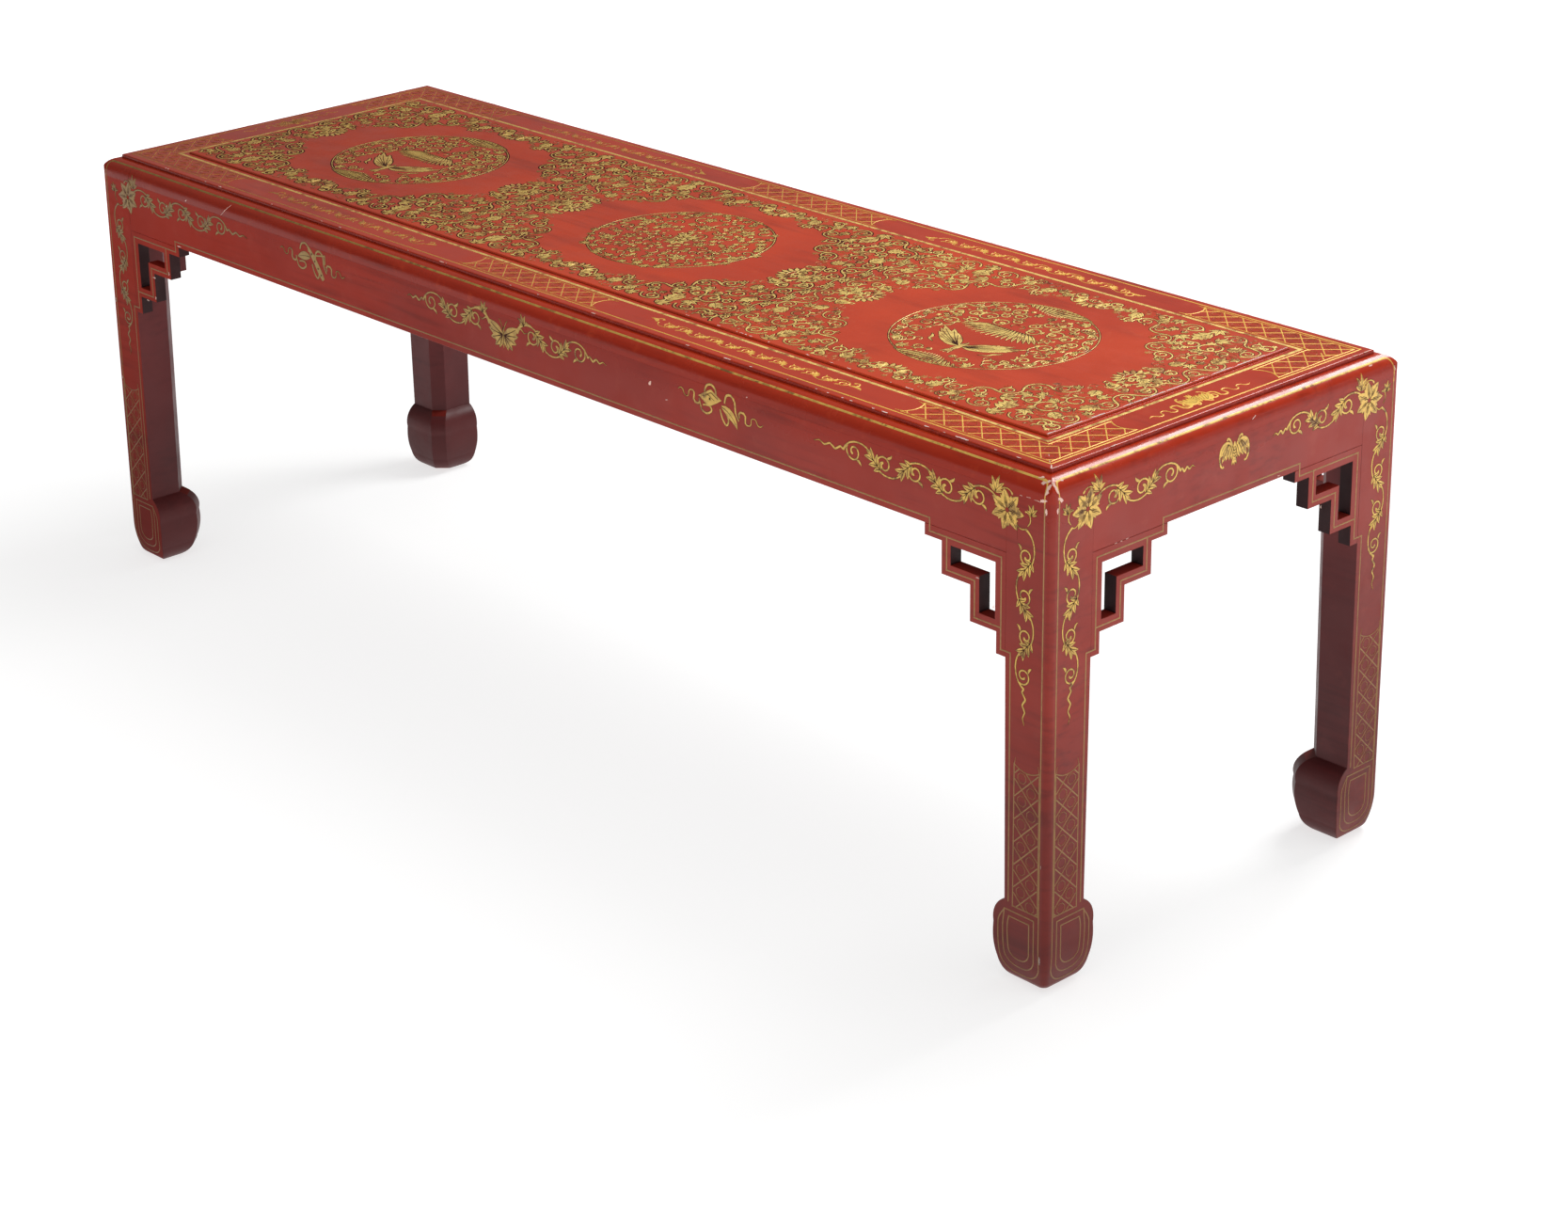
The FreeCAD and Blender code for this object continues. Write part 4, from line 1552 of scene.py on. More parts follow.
@dataclass(frozen=True)
class Lattice:
    """A strip of crossing lines with a small octagon in each mesh."""

    pitch: float = 21.5
    line: float = 0.5
    octagon: float = 4.7
    step: float = 0.8
    shortest: float = 2.0

    def fill(self, inside: Callable[[float, float], bool], box: Sequence[float],
             centre: Point) -> tuple[Drawing, Drawing]:
        """Fills a shape.

        Args:
            inside: Tells whether a point lies in the shape.
            box: Low X, low Y, high X and high Y around the shape.
            centre: A point on the lattice's axis.

        Returns:
            The crossing lines, and the octagons.
        """
        made, rings = Drawing(), Drawing()
        x0, y0, x1, y1 = box
        reach = (x1 - x0) + (y1 - y0)
        count = int(reach / self.pitch) + 2
        for hand in (1, -1):
            for index in range(-count, count + 1):
                start: Point | None = None
                last = (0.0, 0.0)
                for step in range(int(reach / self.step)):
                    v = y0 + step * self.step
                    u = centre[0] + index * self.pitch + self.pitch / 4 * hand + hand * (v - centre[1])
                    here = v <= y1 and inside(u, v)
                    if here and start is None:
                        start = (u, v)
                    if not here and start is not None:
                        if math.dist(start, last) > self.shortest:
                            made.stroke((start, last), self.line)
                        start = None
                    last = (u, v)
        for i in range(-2 * count, 2 * count + 1):
            for j in range(-2 * count, 2 * count + 1):
                u = centre[0] + (i + j + 1) * self.pitch / 2
                v = centre[1] + (i - j) * self.pitch / 2 - self.pitch / 4
                if all(inside(*polar(u, v, a, self.octagon)) for a in range(0, 360, 45)):
                    ring = [polar(u, v, 22.5 + 45 * k, self.octagon) for k in range(9)]
                    rings.stroke(ring, self.line * 0.5)
        return made, rings


@dataclass(frozen=True)
class BorderOrnament:
    """The gilt lines, lattice reserves and scrolls on the band of the top frame."""

    half_length: float
    half_width: float
    axis: float = 42.5
    reserve: Point = (28.5, 56.6)
    reserve_box: Point = (16.0, 62.0)
    corner_start: float = 496.0
    middle_end: float = 95.0
    end_start: float = 91.0
    scallop: Point = (5.5, 14.0)
    horn: float = 7.0
    vine_start: float = 174.0
    line: float = 0.5
    scallop_line: float = 0.55

    def inset(self, x: float, y: float) -> float:
        """Distance of a point from the outer edge of the top."""
        return min(self.half_length - abs(x), self.half_width - abs(y))

    def dip(self, aside: float) -> float:
        """How far a reserve's scalloped end is drawn in at a distance from the axis."""
        depth, half = self.scallop
        return depth * (1 - (aside / half) ** 2)

    def in_reserve(self, x: float, y: float) -> bool:
        """Whether a point lies in one of the lattice reserves."""
        inset = self.inset(x, y)
        if not self.reserve[0] < inset < self.reserve[1]:
            return False
        dip = self.dip(inset - self.axis)
        if self.half_width - abs(y) < self.half_length - abs(x):
            return abs(x) > self.corner_start + dip or abs(x) < self.middle_end - dip
        return abs(y) > self.end_start + dip

    def rectangle(self, inset: float, width: float) -> Drawing:
        """A line round the top at an inset."""
        x, y = self.half_length - inset, self.half_width - inset
        made = Drawing()
        made.line([(-x, -y), (x, -y), (x, y), (-x, y), (-x, -y)], width)
        return made

    def lattices(self) -> tuple[Drawing, Drawing]:
        """The crossing lines of the reserves, and the octagons in them."""
        made, rings = Drawing(), Drawing()
        lx, ly = self.half_length, self.half_width
        half, clear = self.reserve_box
        lattice = Lattice()
        for sign in (1, -1):
            axis = sign * (ly - self.axis)
            parts = lattice.fill(lambda u, v: v * sign > ly - clear and self.in_reserve(u, v),
                                 (-lx, axis - half, lx, axis + half), (0, axis))
            for whole, part in zip((made, rings), parts):
                whole += part
            axis = sign * (lx - self.axis)
            parts = lattice.fill(lambda u, v: v * sign > lx - clear and abs(u) < ly - self.reserve[1]
                                 and self.in_reserve(v, u), (-ly, axis - half, ly, axis + half), (0, axis))
            for whole, part in zip((made, rings), parts):
                whole += part.carried(lambda u, v: (v, u))
        return made, rings

    def reserves(self) -> tuple[Drawing, Drawing]:
        """The lattice reserves with their scalloped ends, and the octagons in them."""
        made, rings = self.lattices()
        lx, ly = self.half_length, self.half_width
        scallop = [(self.dip(v), v) for v in range(-14, 15, 2)]
        for sx, sy in ((1, 1), (1, -1), (-1, 1), (-1, -1)):
            for inset in self.reserve:
                x, y = sx * (lx - inset), sy * (ly - inset)
                made.line([(sx * self.corner_start, y), (x, y), (x, sy * self.end_start)], self.line)
                made.line([(0, y), (sx * self.middle_end, y)], self.line)
            for start, hand in ((self.corner_start, 1), (self.middle_end, -1)):
                points = [(sx * (start + hand * d), sy * (ly - self.axis + v)) for d, v in scallop]
                made.curve(points, (self.scallop_line, self.scallop_line), 1)
                for end, beside in (points[:2], points[:-3:-1]):
                    made.curve([(sx * (start - hand * self.horn), end[1]), beside], (HAIR, 0.6), 2)
            points = [(sx * (lx - self.axis + v), sy * (self.end_start + d)) for d, v in scallop]
            made.curve(points, (self.scallop_line, self.scallop_line), 1)
        return made, rings

    def scrolls(self) -> Drawing:
        """The light scrolls and tied bats between the reserves."""
        made = Drawing()
        stem = vine(20.5, 6.6, 12, 0.5, 10, 0, 0.0)
        stem.petal(-3, 0, 200, 13, 2.2, -70)
        stem.curl(-1, 0, 170, 6, 2, 260, 0.7, 2.4)
        stem.petal(247, 0, 8, 16, 1.8, 60)
        stem.curl(246, 0, 10, 6, 2, -260, 0.7, 2.4)
        tied = bat(35, 0.3)
        for hand in (1, -1):
            tied += ribbon(48, 7.5, 0.95, 3).placed(hand * 16, 3, 90 - hand * 88)
        for hand in (1, -1):
            tied.curl(hand * 12, 6, 90 - hand * 30, 5, 2, -hand * 330, 0.8)
        for sx in (1, -1):
            for sy in (1, -1):
                part = stem.placed(self.vine_start, sy * (self.half_width - self.axis), 0, 1, sy < 0)
                made += part if sx > 0 else part.mirrored()
            made += tied.placed(sx * (self.half_length - self.axis), 0, -90 * sx)
        return made


@dataclass(frozen=True)
class SideOrnament:
    """The gilt ornament of one upright side, seen from outside, from its middle and the floor."""

    half_run: float
    is_long: bool
    shoulder: float = 457.2
    arris: float = 8.2
    leg: float = 49.0
    apron: float = 387.5
    thin: float = 0.72
    foot: float = 0.65
    lattice: float = 0.62

    def round_over_line(self) -> Drawing:
        """The bright line on the round-over, turning down beside the arrises."""
        h, made = self.half_run, Drawing()
        made.line([(0, self.shoulder), (h - 15, self.shoulder)], 0.58)
        made.curve([(h - 16, self.shoulder), (h - 11.5, 456.6), (h - 9, 453.5), (h - 8.3, 447),
                    (h - self.arris, 436)], (0.7, 0.7, 0.7), 3)
        return made.both()

    def border_lines(self) -> Drawing:
        """The thin lines of apron, brackets and legs."""
        h, made = self.half_run, Drawing()
        leg, apron = h - self.leg, self.apron
        made.line([(0, apron + 6), (leg - 86, apron + 6), (leg - 86, apron - 5.7), (leg - 5.2, apron - 5.7),
                   (leg - 5.2, apron - 86.5), (leg + 5.6, apron - 86.5), (leg + 6.6, 76)], self.thin)
        made.line([(leg - 66.5, apron - 5.7), (leg - 66.5, apron - 34.8), (leg - 34.8, apron - 34.8),
                   (leg - 34.8, apron - 67.5), (leg - 5.2, apron - 67.5)], self.thin)
        made.line([(h - self.arris, 440), (h - self.arris, 66)], 0.7)
        return made.both()

    def foot_lines(self) -> Drawing:
        """The nested lines of the hoof feet."""
        h, made = self.half_run, Drawing()
        for inset, top, bottom in ((0.0, 0.0, 9.0), (5.4, 67.5, 16.5), (10.6, 62.0, 24.0)):
            right, left = h - self.arris - inset, h - 53.0 + inset
            bend = 17 - inset * 0.6
            low = bottom + bend
            line = [(right, top or 66), (right, 50), (right, low)]
            line += [(right - bend + bend * math.cos(t), low - bend * math.sin(t))
                     for t in (0.4, 0.8, 1.2, 1.57)]
            line += [(left + bend - bend * math.sin(t), low - bend * math.cos(t))
                     for t in (0.0, 0.4, 0.8, 1.2)]
            line += [(left - 0.3, low + 6), (left - 0.8, 50)]
            line += [(left - 0.3, 57), (left + 1.0, top)] if top else [(left + 0.6, 58), (left + 6.5, 67)]
            made.curve(line, (self.foot, self.foot), 3)
            if top:
                made.line([(left + 1.0, top), (right, top)], self.foot)
        return made.both()

    def lattices(self) -> Drawing:
        """The lattice reserves of the legs."""
        made = Drawing()
        low, high, centre, half = 73.0, 204.0, self.half_run - 23.5, 14.0

        def end(aside: float) -> float:
            """Height of the scalloped upper end at a distance from the axis."""
            return high - 4.5 * (1 - (aside / half) ** 2)

        def inside(u: float, v: float) -> bool:
            """Whether a point lies in the reserve."""
            return abs(v - centre) < half and low < u < end(v - centre)

        box = (low, centre - half, high, centre + half)
        for part in Lattice(21.0, self.lattice, 4.9).fill(inside, box, (low + 5, centre)):
            made += part.carried(lambda u, v: (v, u))
        left, right = centre - half, centre + half
        made.line([(left, high), (left, low), (right, low), (right, high)], self.lattice)
        made.curve([(centre + v, end(v)) for v in (-14, -10, -5, 0, 5, 10, 14)], (0.5, 0.5), 2)
        for hand in (1, -1):
            horn = [(centre + hand * half, high - 1), (centre + hand * (half - 1.5), high + 6)]
            made.curve(horn, (0.5, HAIR), 2)
        return made.both()

    def corner(self) -> Drawing:
        """The flower on the joint of leg and apron with its vines."""
        h, made = self.half_run, Drawing()
        x, z = (h - 48.5, 424.5) if self.is_long else (h - 42, 427)
        count, wave, end = (5, 36, 36) if self.is_long else (3, 35, 18)
        made += vine(wave, 10.8, count, 0.9, 21, end).placed(x - 8, z + 2, 180, 1, True)
        drop = h - 28 if self.is_long else h - 24
        made += vine(35, 9.6, 4, 0.86, 19.5, 32).placed(drop, z - 11, -90)
        made.curve([(x + 4, z - 4), (x + 14, z - 12), (drop, z - 11)], (0.6, 0.6), 3)
        made += flower(18, 7, 0.5).placed(x, z, 12)
        made += leaf(15, 0.3).placed(x - 13, z + 12, 78)
        made.curl(x - 10, z + 12, 70, 11, 6, -130, 0.6, 2.0)
        made.curl(drop + 2, z - 8, 40, 9, 3, 150, 0.6, 1.6)
        made += leaf(10, 0.3).placed(drop + 6, z + 2, 80)
        return made.both()

    def middle(self) -> Drawing:
        """The bat of a short side, or the butterfly with its scrolls and the emblems of a long one."""
        if not self.is_long:
            return bat(38).placed(0, 429)
        made = butterfly(46).placed(0, 420)
        side = vine(34, 11.0, 3, 0.9, 21, 26).placed(21, 427)
        side += leaf(12, 0.4).placed(31, 436, 112)
        side.curve([(18, 425), (24, 433), (33, 439), (43, 438)], (0.8, 1.6, 1.6, 0.7), 3)
        made += side.both()
        made += emblem(1).placed(302, 427)
        made += emblem(-1).placed(-306, 427)
        return made


@dataclass(frozen=True)
class Layer:
    """One coat of a drawing: its finish, its height and the width of its dark outline in millimetres, a
    painted shade round the raised strokes that also darkens the ground between them.
    """

    drawing: Drawing
    material: Material
    crest: float = 0.32
    outline: float = 0.0


@dataclass(frozen=True)
class GiltWork:
    """Lays drawings on the table's faces as thin raised gilding.

    FOOT and EDGE are heights of a stroke's underside and edges in millimetres, DARK_RISE how far its dark
    lines stand over it, OUTLINE_SHADE crest and edges of the dark outline under it, a painted shade round the
    raised gold. BAY is the pitch of the panel's bays, and BAYS hold their names and outlines.
    """

    FOOT = -0.12
    EDGE = -0.03
    DARK_RISE = 0.07
    OUTLINE_SHADE = (0.05, -0.005)
    BAY = 418.0
    # Outlines widen towards the left end, deepening the painted shade there.
    BAYS = (("left", 1.7), ("middle", 1.4), ("right", 0.8))
    sizes: TableSizes
    finishes: Finishes

    @staticmethod
    def reshape(mesh: Mesh, surface: Surface) -> None:
        """Carries all the points of a mesh elsewhere."""
        places = np.empty(len(mesh.vertices) * 3, np.float32)
        mesh.vertices.foreach_get("co", places)
        places = surface(places.reshape(-1, 3).astype(np.float64))
        mesh.vertices.foreach_set("co", places.astype(np.float32).ravel())
        mesh.update()

    def ridge(self, name: str, strokes: Sequence[Stroke], crest: float, edge: float,
              material: Material) -> Object:
        """One flat mesh of ridged strokes, in millimetres, X and Y in the drawing and Z outwards.

        Args:
            name: Name of the new piece.
            strokes: The strokes.
            crest: Height of the strokes along their middle.
            edge: Height of their edges.
            material: Their finish.

        Returns:
            The piece.
        """
        curve = bpy.data.curves.new(name, "CURVE")
        curve.dimensions = "3D"
        curve.twist_mode = "Z_UP"
        curve.bevel_depth = 1.0
        curve.bevel_resolution = 0
        curve.use_fill_caps = True
        for stroke in strokes:
            spline = curve.splines.new("POLY")
            spline.points.add(len(stroke.points) - 1)
            spline.points.foreach_set("co", [value for x, y in stroke.points for value in (x, y, 0.0, 1.0)])
            spline.points.foreach_set("radius", stroke.widths)
        piece = meshed(curve, 1e-5)

        def flatten(places: np.ndarray) -> np.ndarray:
            """Sets the heights of crest, edges and underside."""
            x, y, z = places.T
            return np.stack((x, y, np.where(z > 1e-3, crest, np.where(z < -1e-3, self.FOOT, edge))), axis=1)

        self.reshape(piece.data, flatten)
        piece.data.materials.clear()
        piece.data.materials.append(material)
        return piece

    def lay(self, name: str, slot: Slot, layers: Sequence[Layer], surface: Surface) -> None:
        """Lays drawings on a face as one piece.

        Args:
            name: Name of the piece.
            slot: The record's slot; not used.
            layers: The drawings with their finishes.
            surface: Carries points of the drawing onto the face, in millimetres.
        """
        parts = []
        dark = self.finishes.dark
        for index, layer in enumerate(layers):
            drawing, crest = layer.drawing, layer.crest
            # The dark outline under the gold paints the shade round the raised strokes and darkens the ground
            # between them.
            outline_shade = drawing.heavier(layer.outline).gold if layer.outline else []
            coats = [("gold", drawing.gold, crest, self.EDGE, layer.material),
                     ("dark", drawing.dark, crest + self.DARK_RISE, crest + self.EDGE, dark),
                     ("outline_shade", outline_shade, *self.OUTLINE_SHADE, dark)]
            parts += [self.ridge(f"{name}_{index}_{coat}", strokes, *look)
                      for coat, strokes, *look in coats if strokes]
        pick(parts[0])
        for part in parts[1:]:
            part.select_set(True)
        if len(parts) > 1:
            bpy.ops.object.join()
        piece = bpy.context.object
        piece.name = piece.data.name = name
        self.reshape(piece.data, lambda places: surface(places) * MM)
        pick(piece)
        bpy.ops.object.shade_smooth_by_angle(angle=math.radians(50))
        hand_in(piece, layers[0].material)

    def recess(self, heights: np.ndarray) -> np.ndarray:
        """How far an upright side lies behind its plane at heights, on the round-over and under the hoof."""
        top = TopFrame(self.sizes)
        radius = top.shoulder_radius / MM
        spring = (self.sizes.band - top.band_step - top.shoulder_radius) / MM
        up = np.clip((heights - spring) / radius, 0, 0.999)
        insets, levels = np.array(Leg(self.sizes).outside()).T / MM
        return radius * (1 - np.sqrt(1 - up * up)) + np.interp(heights, levels, insets)

    def side_face(self, side: Side) -> Surface:
        """The outer face of a side."""
        reach = self.sizes.half_reach(side) / MM
        turn = np.array(side.turn.to_3x3())

        def place(points: np.ndarray) -> np.ndarray:
            """Sets points of a drawing on the side."""
            along, up, out = points.T
            front = np.stack((along, -reach + self.recess(up) - out, up), axis=1)
            return front @ turn.T

        return place

    @staticmethod
    def level_face(height: float, shift: float = 0.0) -> Surface:
        """A level face at a height, the drawing shifted along it."""
        return lambda points: points + np.array((shift, 0.0, height / MM))

    def panel(self) -> None:
        """Lays the gilding of the panel, bay by bay."""
        ornament, aged = PanelOrnament(), self.finishes.aged
        (bold, fine), bird, leaves = ornament.bay(), ornament.medallion_bird(), ornament.medallion_leaves()
        joined = bold + ornament.seam().placed(self.BAY / 2) + ornament.seam().placed(-self.BAY / 2)
        for index, (word, outline) in enumerate(self.BAYS):
            face = self.level_face(self.sizes.panel, (index - 1) * self.BAY)
            scrolls, medallion = (joined, leaves) if word == "middle" else (bold, bird)
            self.lay(f"panel_scrolls_{word}", Slot.AGED, [Layer(scrolls, aged, outline=outline)], face)
            layers = [Layer(medallion, aged, outline=outline * 0.8), Layer(fine, self.finishes.faint)]
            self.lay(f"panel_medallion_{word}", Slot.AGED, layers, face)

    def border(self) -> None:
        """Lays the gilding of the band."""
        finishes = self.finishes
        ornament = BorderOrnament(self.sizes.half_length / MM, self.sizes.half_width / MM)
        lattice, rings = ornament.reserves()
        lines = ornament.rectangle(24.8, 0.9) + ornament.scrolls().heavier(0.06) + lattice.heavier(0.1)
        layers = [Layer(lines, finishes.border), Layer(rings, finishes.faint),
                  Layer(ornament.rectangle(61.3, 1.9), finishes.aged)]
        self.lay("border_gilding", Slot.GILT, layers, self.level_face(self.sizes.band))

    def build(self) -> None:
        """Lays all the gilding."""
        self.panel()
        self.border()
        finishes = self.finishes
        for side in Side:
            ornament = SideOrnament(self.sizes.half_run(side) / MM, side.is_long)
            bright = ornament.corner() + ornament.middle()
            dull = ornament.border_lines() + ornament.foot_lines() + ornament.lattices()
            layers = [Layer(bright, finishes.gilt, outline=0.36), Layer(dull, finishes.dull),
                      Layer(ornament.round_over_line(), finishes.gilt)]
            self.lay(f"{side.word}_gilding", Slot.GILT, layers, self.side_face(side))


@dataclass
class Wear:
    """Chips, scratches and cracks, where the pale ground or the dark of a joint shows, and pale flecks along
    the panel's right rim that paint a highlight.

    FRONT, END and CRACKS hold place, length, half width and heading of single flecks, NEAR_EDGE and
    RIGHT_EDGE place and length of those along the band's edges.
    """

    FRONT = ((209, 424.5, 5, 1.9, 60), (231, 414, 3, 0.8, 20), (337, 443, 1.6, 0.6, 0),
             (-458, 448, 20, 0.32, 41), (-530, 444, 3.4, 0.7, 30), (-568, 430, 2.6, 0.9, 50),
             (-550, 389.5, 7, 0.8, 0), (-574, 354, 4, 0.8, 90), (-604, 343, 5, 0.9, 0),
             (-604, 320, 3, 0.9, 90), (-620, 314, 5, 0.8, 0), (612, 356, 4, 0.8, 0), (630, 336, 3, 0.8, 90),
             (685.5, 452, 9, 2.2, 82), (683, 442.5, 8, 2.0, 20), (680, 456.5, 8, 1.6, 25),
             (686, 434, 6, 1.4, 88), (673, 457.8, 5, 0.9, 5), (676, 441, 6, 0.5, 0), (667, 441.4, 5, 0.4, 3),
             (659, 440.9, 3, 0.4, 0), (685.8, 33, 8, 0.9, 90), (686, 120, 3, 0.4, 90),
             (-686, 300, 5, 0.5, 90), (-686, 210, 3, 0.4, 90))
    END = ((-216, 453, 9, 2.0, 98), (-214, 444, 7, 1.8, 150), (-217, 435, 5, 1.2, 90),
           (-208, 457.5, 8, 1.2, 170), (-83, 457.5, 4, 0.6, 10), (26, 451, 6, 0.35, 20),
           (188, 456, 5, 0.6, 0), (-147, 387.6, 3, 0.5, 0), (-140, 387.6, 2, 0.5, 0),
           (-133, 387.6, 3, 0.5, 0), (216.5, 448, 4, 0.8, 90), (60, 390, 3, 0.6, 0), (120, 345, 3, 0.6, 90))
    NEAR_EDGE = ((-490, 5), (-310, 3), (-114, 7), (112, 6), (241, 5), (293, 8), (420, 3), (488, 7), (537, 6),
                 (577, 15), (640, 5))
    RIGHT_EDGE = ((197, 8), (182, 9), (168, 5), (60, 3), (-132, 8), (-170, 4), (-203, 7))
    CRACKS = ((-507, 459, 9, 0.22, 78), (-640, 452, 16, 0.2, 84), (655, 414, 24, 0.16, 92),
              (-643.5, 414, 40, 0.14, 90))
    gilt: GiltWork
    band_edge: float = 17.4
    rim_edge: float = 2.0
    seed: int = 11

    def __post_init__(self) -> None:
        """Seeds the chips' shapes."""
        self.random = random.Random(self.seed)

    def chip(self, x: float, y: float, length: float, half: float, heading: float) -> Stroke:
        """A ragged fleck.

        Args:
            x: Its middle.
            y: Its middle.
            length: Its length.
            half: Its greatest half width.
            heading: Heading of its length.

        Returns:
            The fleck's stroke.
        """
        count = max(4, int(length / 1.6) + 2)
        points, widths = [], []
        for index in range(count):
            t = index / (count - 1)
            px, py = polar(x, y, heading, (t - 0.5) * length)
            aside = self.random.uniform(-0.3, 0.3) * half
            points.append(polar(px, py, heading + 90, aside))
            widths.append(HAIR if index in (0, count - 1) else half * self.random.uniform(0.45, 1.0))
        return Stroke(tuple(points), tuple(widths))

    def edge_chips(self, half_run: float, known: Sequence[Point]) -> list[Point]:
        """Places and lengths of the chips along one band edge, known ones and a few more."""
        draw = self.random.uniform
        return [*known, *((draw(-half_run, half_run), draw(1.2, 4)) for _ in range(int(half_run / 34)))]

    def sides(self) -> None:
        """Makes the wear of the upright sides."""
        gilt = self.gilt
        ground, dark = gilt.finishes.ground, gilt.finishes.dark
        turned = tuple((-x, z, length, half, -heading) for x, z, length, half, heading in self.FRONT[3:16])
        known = {Side.FRONT: self.FRONT, Side.RIGHT: self.END, Side.BACK: turned, Side.LEFT: self.END[3:10]}
        for side, flecks in known.items():
            layers = [Layer(Drawing([self.chip(*fleck) for fleck in flecks]), ground, 0.36)]
            if side.is_long:
                layers.append(Layer(Drawing([self.chip(*crack) for crack in self.CRACKS]), dark, 0.1))
            gilt.lay(f"{side.word}_chips", Slot.SIDE, layers, gilt.side_face(side))

    def build(self) -> None:
        """Makes all the wear."""
        self.sides()
        gilt, sizes, draw = self.gilt, self.gilt.sizes, self.random.uniform
        half_x, half_y = sizes.half_length / MM, sizes.half_width / MM
        lx, ly = half_x - self.band_edge, half_y - self.band_edge
        flecks = []
        for sign, near, right in ((-1, self.NEAR_EDGE, self.RIGHT_EDGE),
                                  (1, self.NEAR_EDGE[3:6], self.RIGHT_EDGE[2:4])):
            for x, length in self.edge_chips(lx - 4, near):
                flecks.append(self.chip(x, sign * ly, length, 0.45 + 0.055 * length, 0))
            for y, length in self.edge_chips(ly - 4, right):
                flecks.append(self.chip(-sign * lx, y, length, 0.45 + 0.055 * length, 90))
        for x, y, length, half in ((3, 3, 9, 0.9), (12, 11, 8, 0.5), (22, 21, 5, 0.35)):
            flecks.append(self.chip(lx - x, -ly + y, length, half, -45))
        ground = gilt.finishes.ground
        gilt.lay("band_chips", Slot.TOP, [Layer(Drawing(flecks), ground, 0.1)], gilt.level_face(sizes.band))
        rim_x, rim_y = (half - sizes.frame_width / MM - self.rim_edge for half in (half_x, half_y))
        # The pale flecks along the panel's right rim paint the highlight on its rounded rim; those along its
        # near rim are chips.
        flecks = [self.chip(rim_x, draw(-rim_y, rim_y), draw(3, 13), 1.0, 90) for _ in range(46)]
        flecks += [self.chip(draw(0.2, 1) * rim_x, -rim_y, draw(1.5, 6), 0.7, 0) for _ in range(18)]
        gilt.lay("panel_chips", Slot.TOP, [Layer(Drawing(flecks), ground, 0.06)],
                 gilt.level_face(sizes.panel))


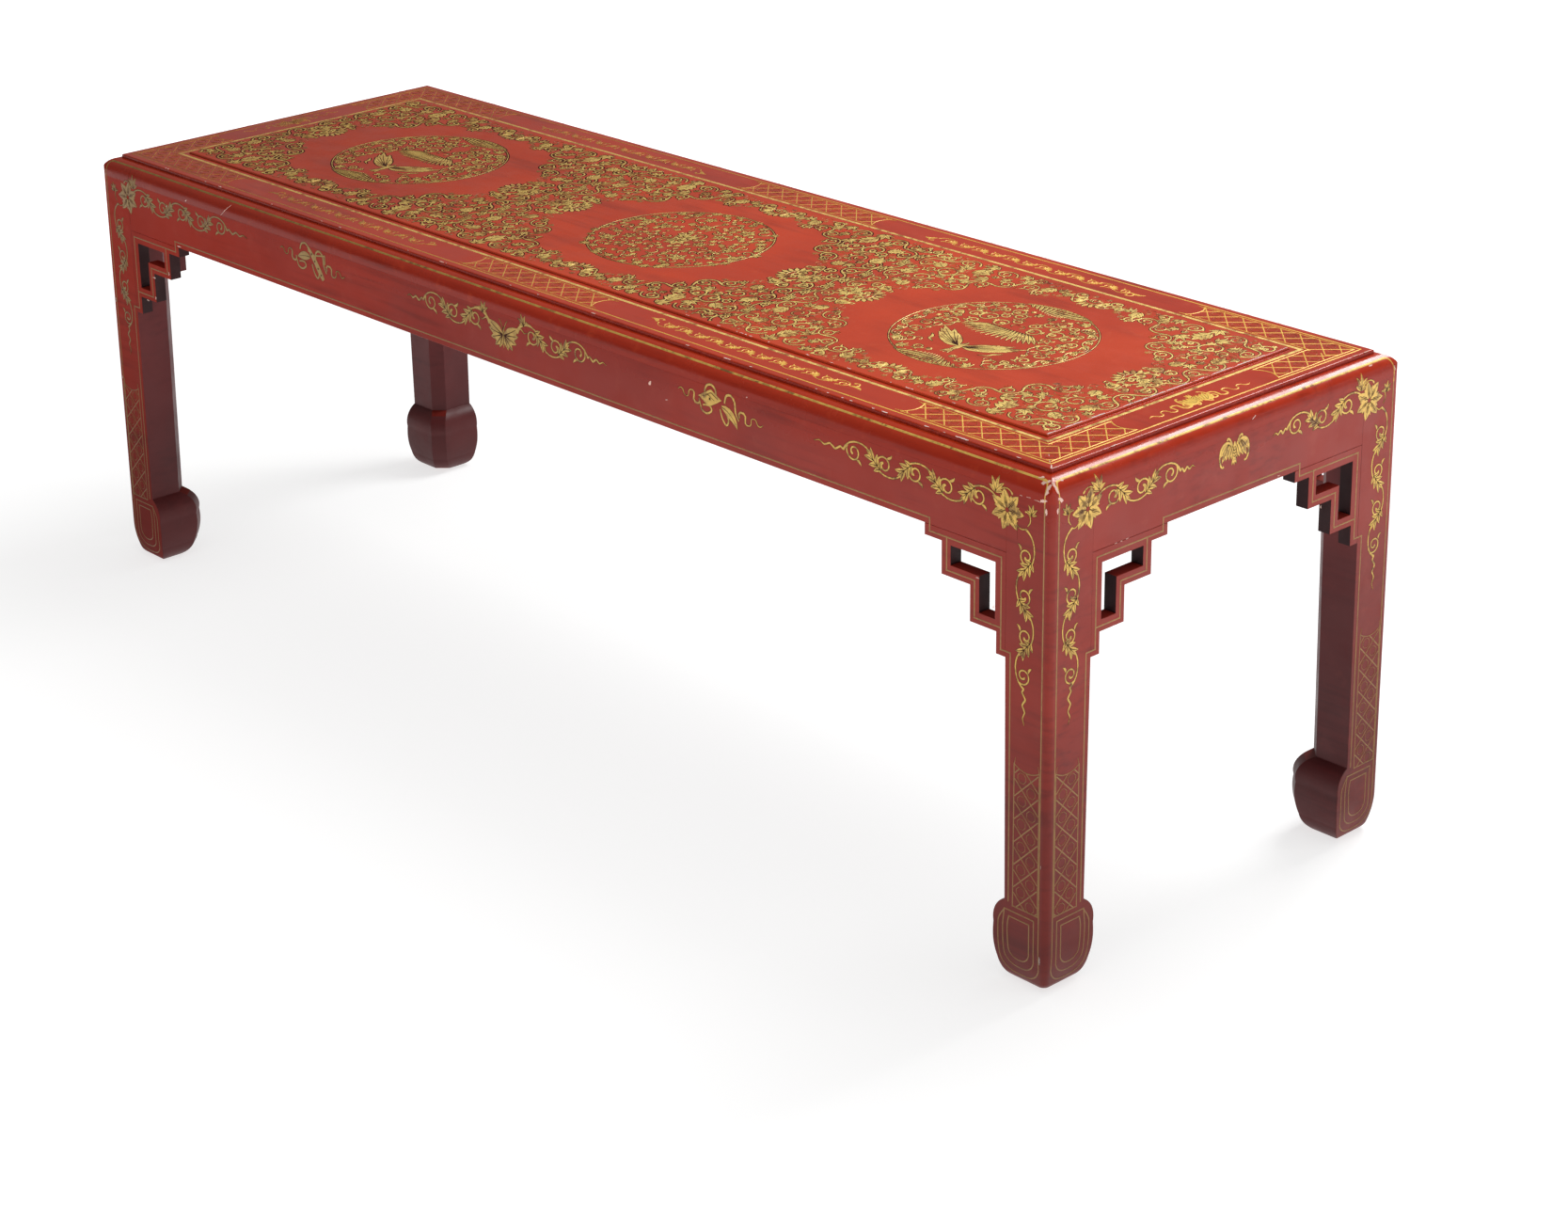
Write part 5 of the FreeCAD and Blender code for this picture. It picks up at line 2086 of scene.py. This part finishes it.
@dataclass(frozen=True)
class Studio:
    """The pale floor, the soft lights, the surround and the camera."""

    floor_size: float = 40.0
    floor_tint: Triple = (0.415, 0.42, 0.42)
    surround_tint: Triple = (1.0, 0.98, 0.96)
    surround_strength: float = 0.22
    lens: float = 75.98
    sensor: float = 36.0
    shift: Point = (0.0441, -0.12)
    stand: Triple = (2.3271, -2.0348, 1.4006)
    right: Triple = (0.67048815, 0.74166677, -0.01939188)
    down: Triple = (0.24009234, -0.24163311, -0.94019631)
    ahead: Triple = (-0.70199808, 0.62573464, -0.34008065)

    def camera(self) -> None:
        """The camera at the photograph's place."""
        data = bpy.data.cameras.new("camera")
        data.lens = self.lens
        data.sensor_width = self.sensor
        data.sensor_fit = "HORIZONTAL"
        data.shift_x, data.shift_y = self.shift
        data.clip_end = 100
        camera = bpy.data.objects.new("camera", data)
        axes = (Vector(self.right), -Vector(self.down), -Vector(self.ahead))
        turn = Matrix(axes).transposed().to_4x4()
        camera.matrix_world = Matrix.Translation(self.stand) @ turn
        bpy.context.scene.collection.objects.link(camera)
        bpy.context.scene.camera = camera

    @staticmethod
    def light(name: str, place: Triple, aim: Triple, size: Point, power: float) -> None:
        """A soft square light."""
        data = bpy.data.lights.new(name, "AREA")
        data.shape = "RECTANGLE"
        data.size, data.size_y = size
        data.energy = power
        lamp = bpy.data.objects.new(name, data)
        lamp.location = place
        lamp.rotation_euler = (Vector(aim) - Vector(place)).to_track_quat("-Z", "Y").to_euler()
        bpy.context.scene.collection.objects.link(lamp)

    def floor(self) -> None:
        """The floor, lit a little from within so that it stays pale around the table."""
        bpy.ops.object.select_all(action="DESELECT")
        bpy.ops.mesh.primitive_plane_add(size=self.floor_size)
        floor = bpy.context.object
        floor.name = "studio_floor"
        material = bpy.data.materials.new("studio_floor")
        material.use_nodes = True
        shader = material.node_tree.nodes["Principled BSDF"]
        shader.inputs["Base Color"].default_value = (*self.floor_tint, 1)
        shader.inputs["Roughness"].default_value = 0.9
        shader.inputs["Emission Color"].default_value = (1, 1, 1, 1)
        nodes = Nodes(material.node_tree)
        place = nodes.add("ShaderNodeTexCoord").outputs["Object"]
        apart = nodes.add("ShaderNodeSeparateXYZ", Vector=place)
        along = apart.outputs["X"]
        away = nodes.add("ShaderNodeVectorMath", operation="LENGTH")
        nodes.feed(away, 0, place)
        # The glow is painted light: a little weaker out by the legs, stronger in front, past the right end
        # and far off, where it throws light and reflections onto the table's ends.
        middle = nodes.ramp(nodes.math("ABSOLUTE", along), 0.45, 0.7, 0.75, 0.71)
        ends = nodes.math("ADD", nodes.ramp(along, 0.85, 1.4, 0.0, 0.7),
                          nodes.ramp(away.outputs["Value"], 1.0, 2.4, 0.0, 0.5))
        front = nodes.ramp(apart.outputs["Y"], -0.8, -0.3, 0.12, 0.0)
        nodes.feed(shader, "Emission Strength", nodes.math("ADD", nodes.math("ADD", middle, ends), front))
        floor.data.materials.append(material)

    def build(self) -> None:
        """Builds the studio."""
        self.floor()
        world = bpy.data.worlds.new("surround")
        world.use_nodes = True
        background = world.node_tree.nodes["Background"]
        background.inputs["Color"].default_value = (*self.surround_tint, 1)
        background.inputs["Strength"].default_value = self.surround_strength
        bpy.context.scene.world = world
        self.light("overhead_light", (0.9, 0.3, 4.2), (0.7, 0.1, 0), (3.8, 3.8), 68)
        self.light("key_light", (0.3, 2.1, 2.5), (0.6, 0.0, 0.42), (1.3, 1.4), 62)
        self.light("end_light", (2.5, 1.6, 0.8), (0.69, 0.0, 0.25), (1.6, 1.0), 6)
        self.light("front_light", (0.6, -4.2, 2.2), (0, 0, 0.3), (2.4, 1.6), 12)
        bpy.context.scene.view_settings.view_transform = "Standard"
        self.camera()


def main() -> None:
    """Builds the table's looks."""
    logging.basicConfig(level=logging.INFO, format="%(message)s")
    sizes = TableSizes.measured()
    finishes = Finishes()
    TopFrame(sizes).build(finishes)
    TopPanel(sizes).build(finishes)
    Leg(sizes).build(finishes)
    Aprons(sizes).build(finishes)
    Spandrels(sizes).build(finishes)
    gilt = GiltWork(sizes, finishes)
    gilt.build()
    Wear(gilt).build()
    Studio().build()
    for name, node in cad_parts.items():
        node.data.materials.clear()
        node.data.materials.append(finishes.wood if name == "spandrel_dowels" else finishes.hidden)


if __name__ == "__main__":
    main()
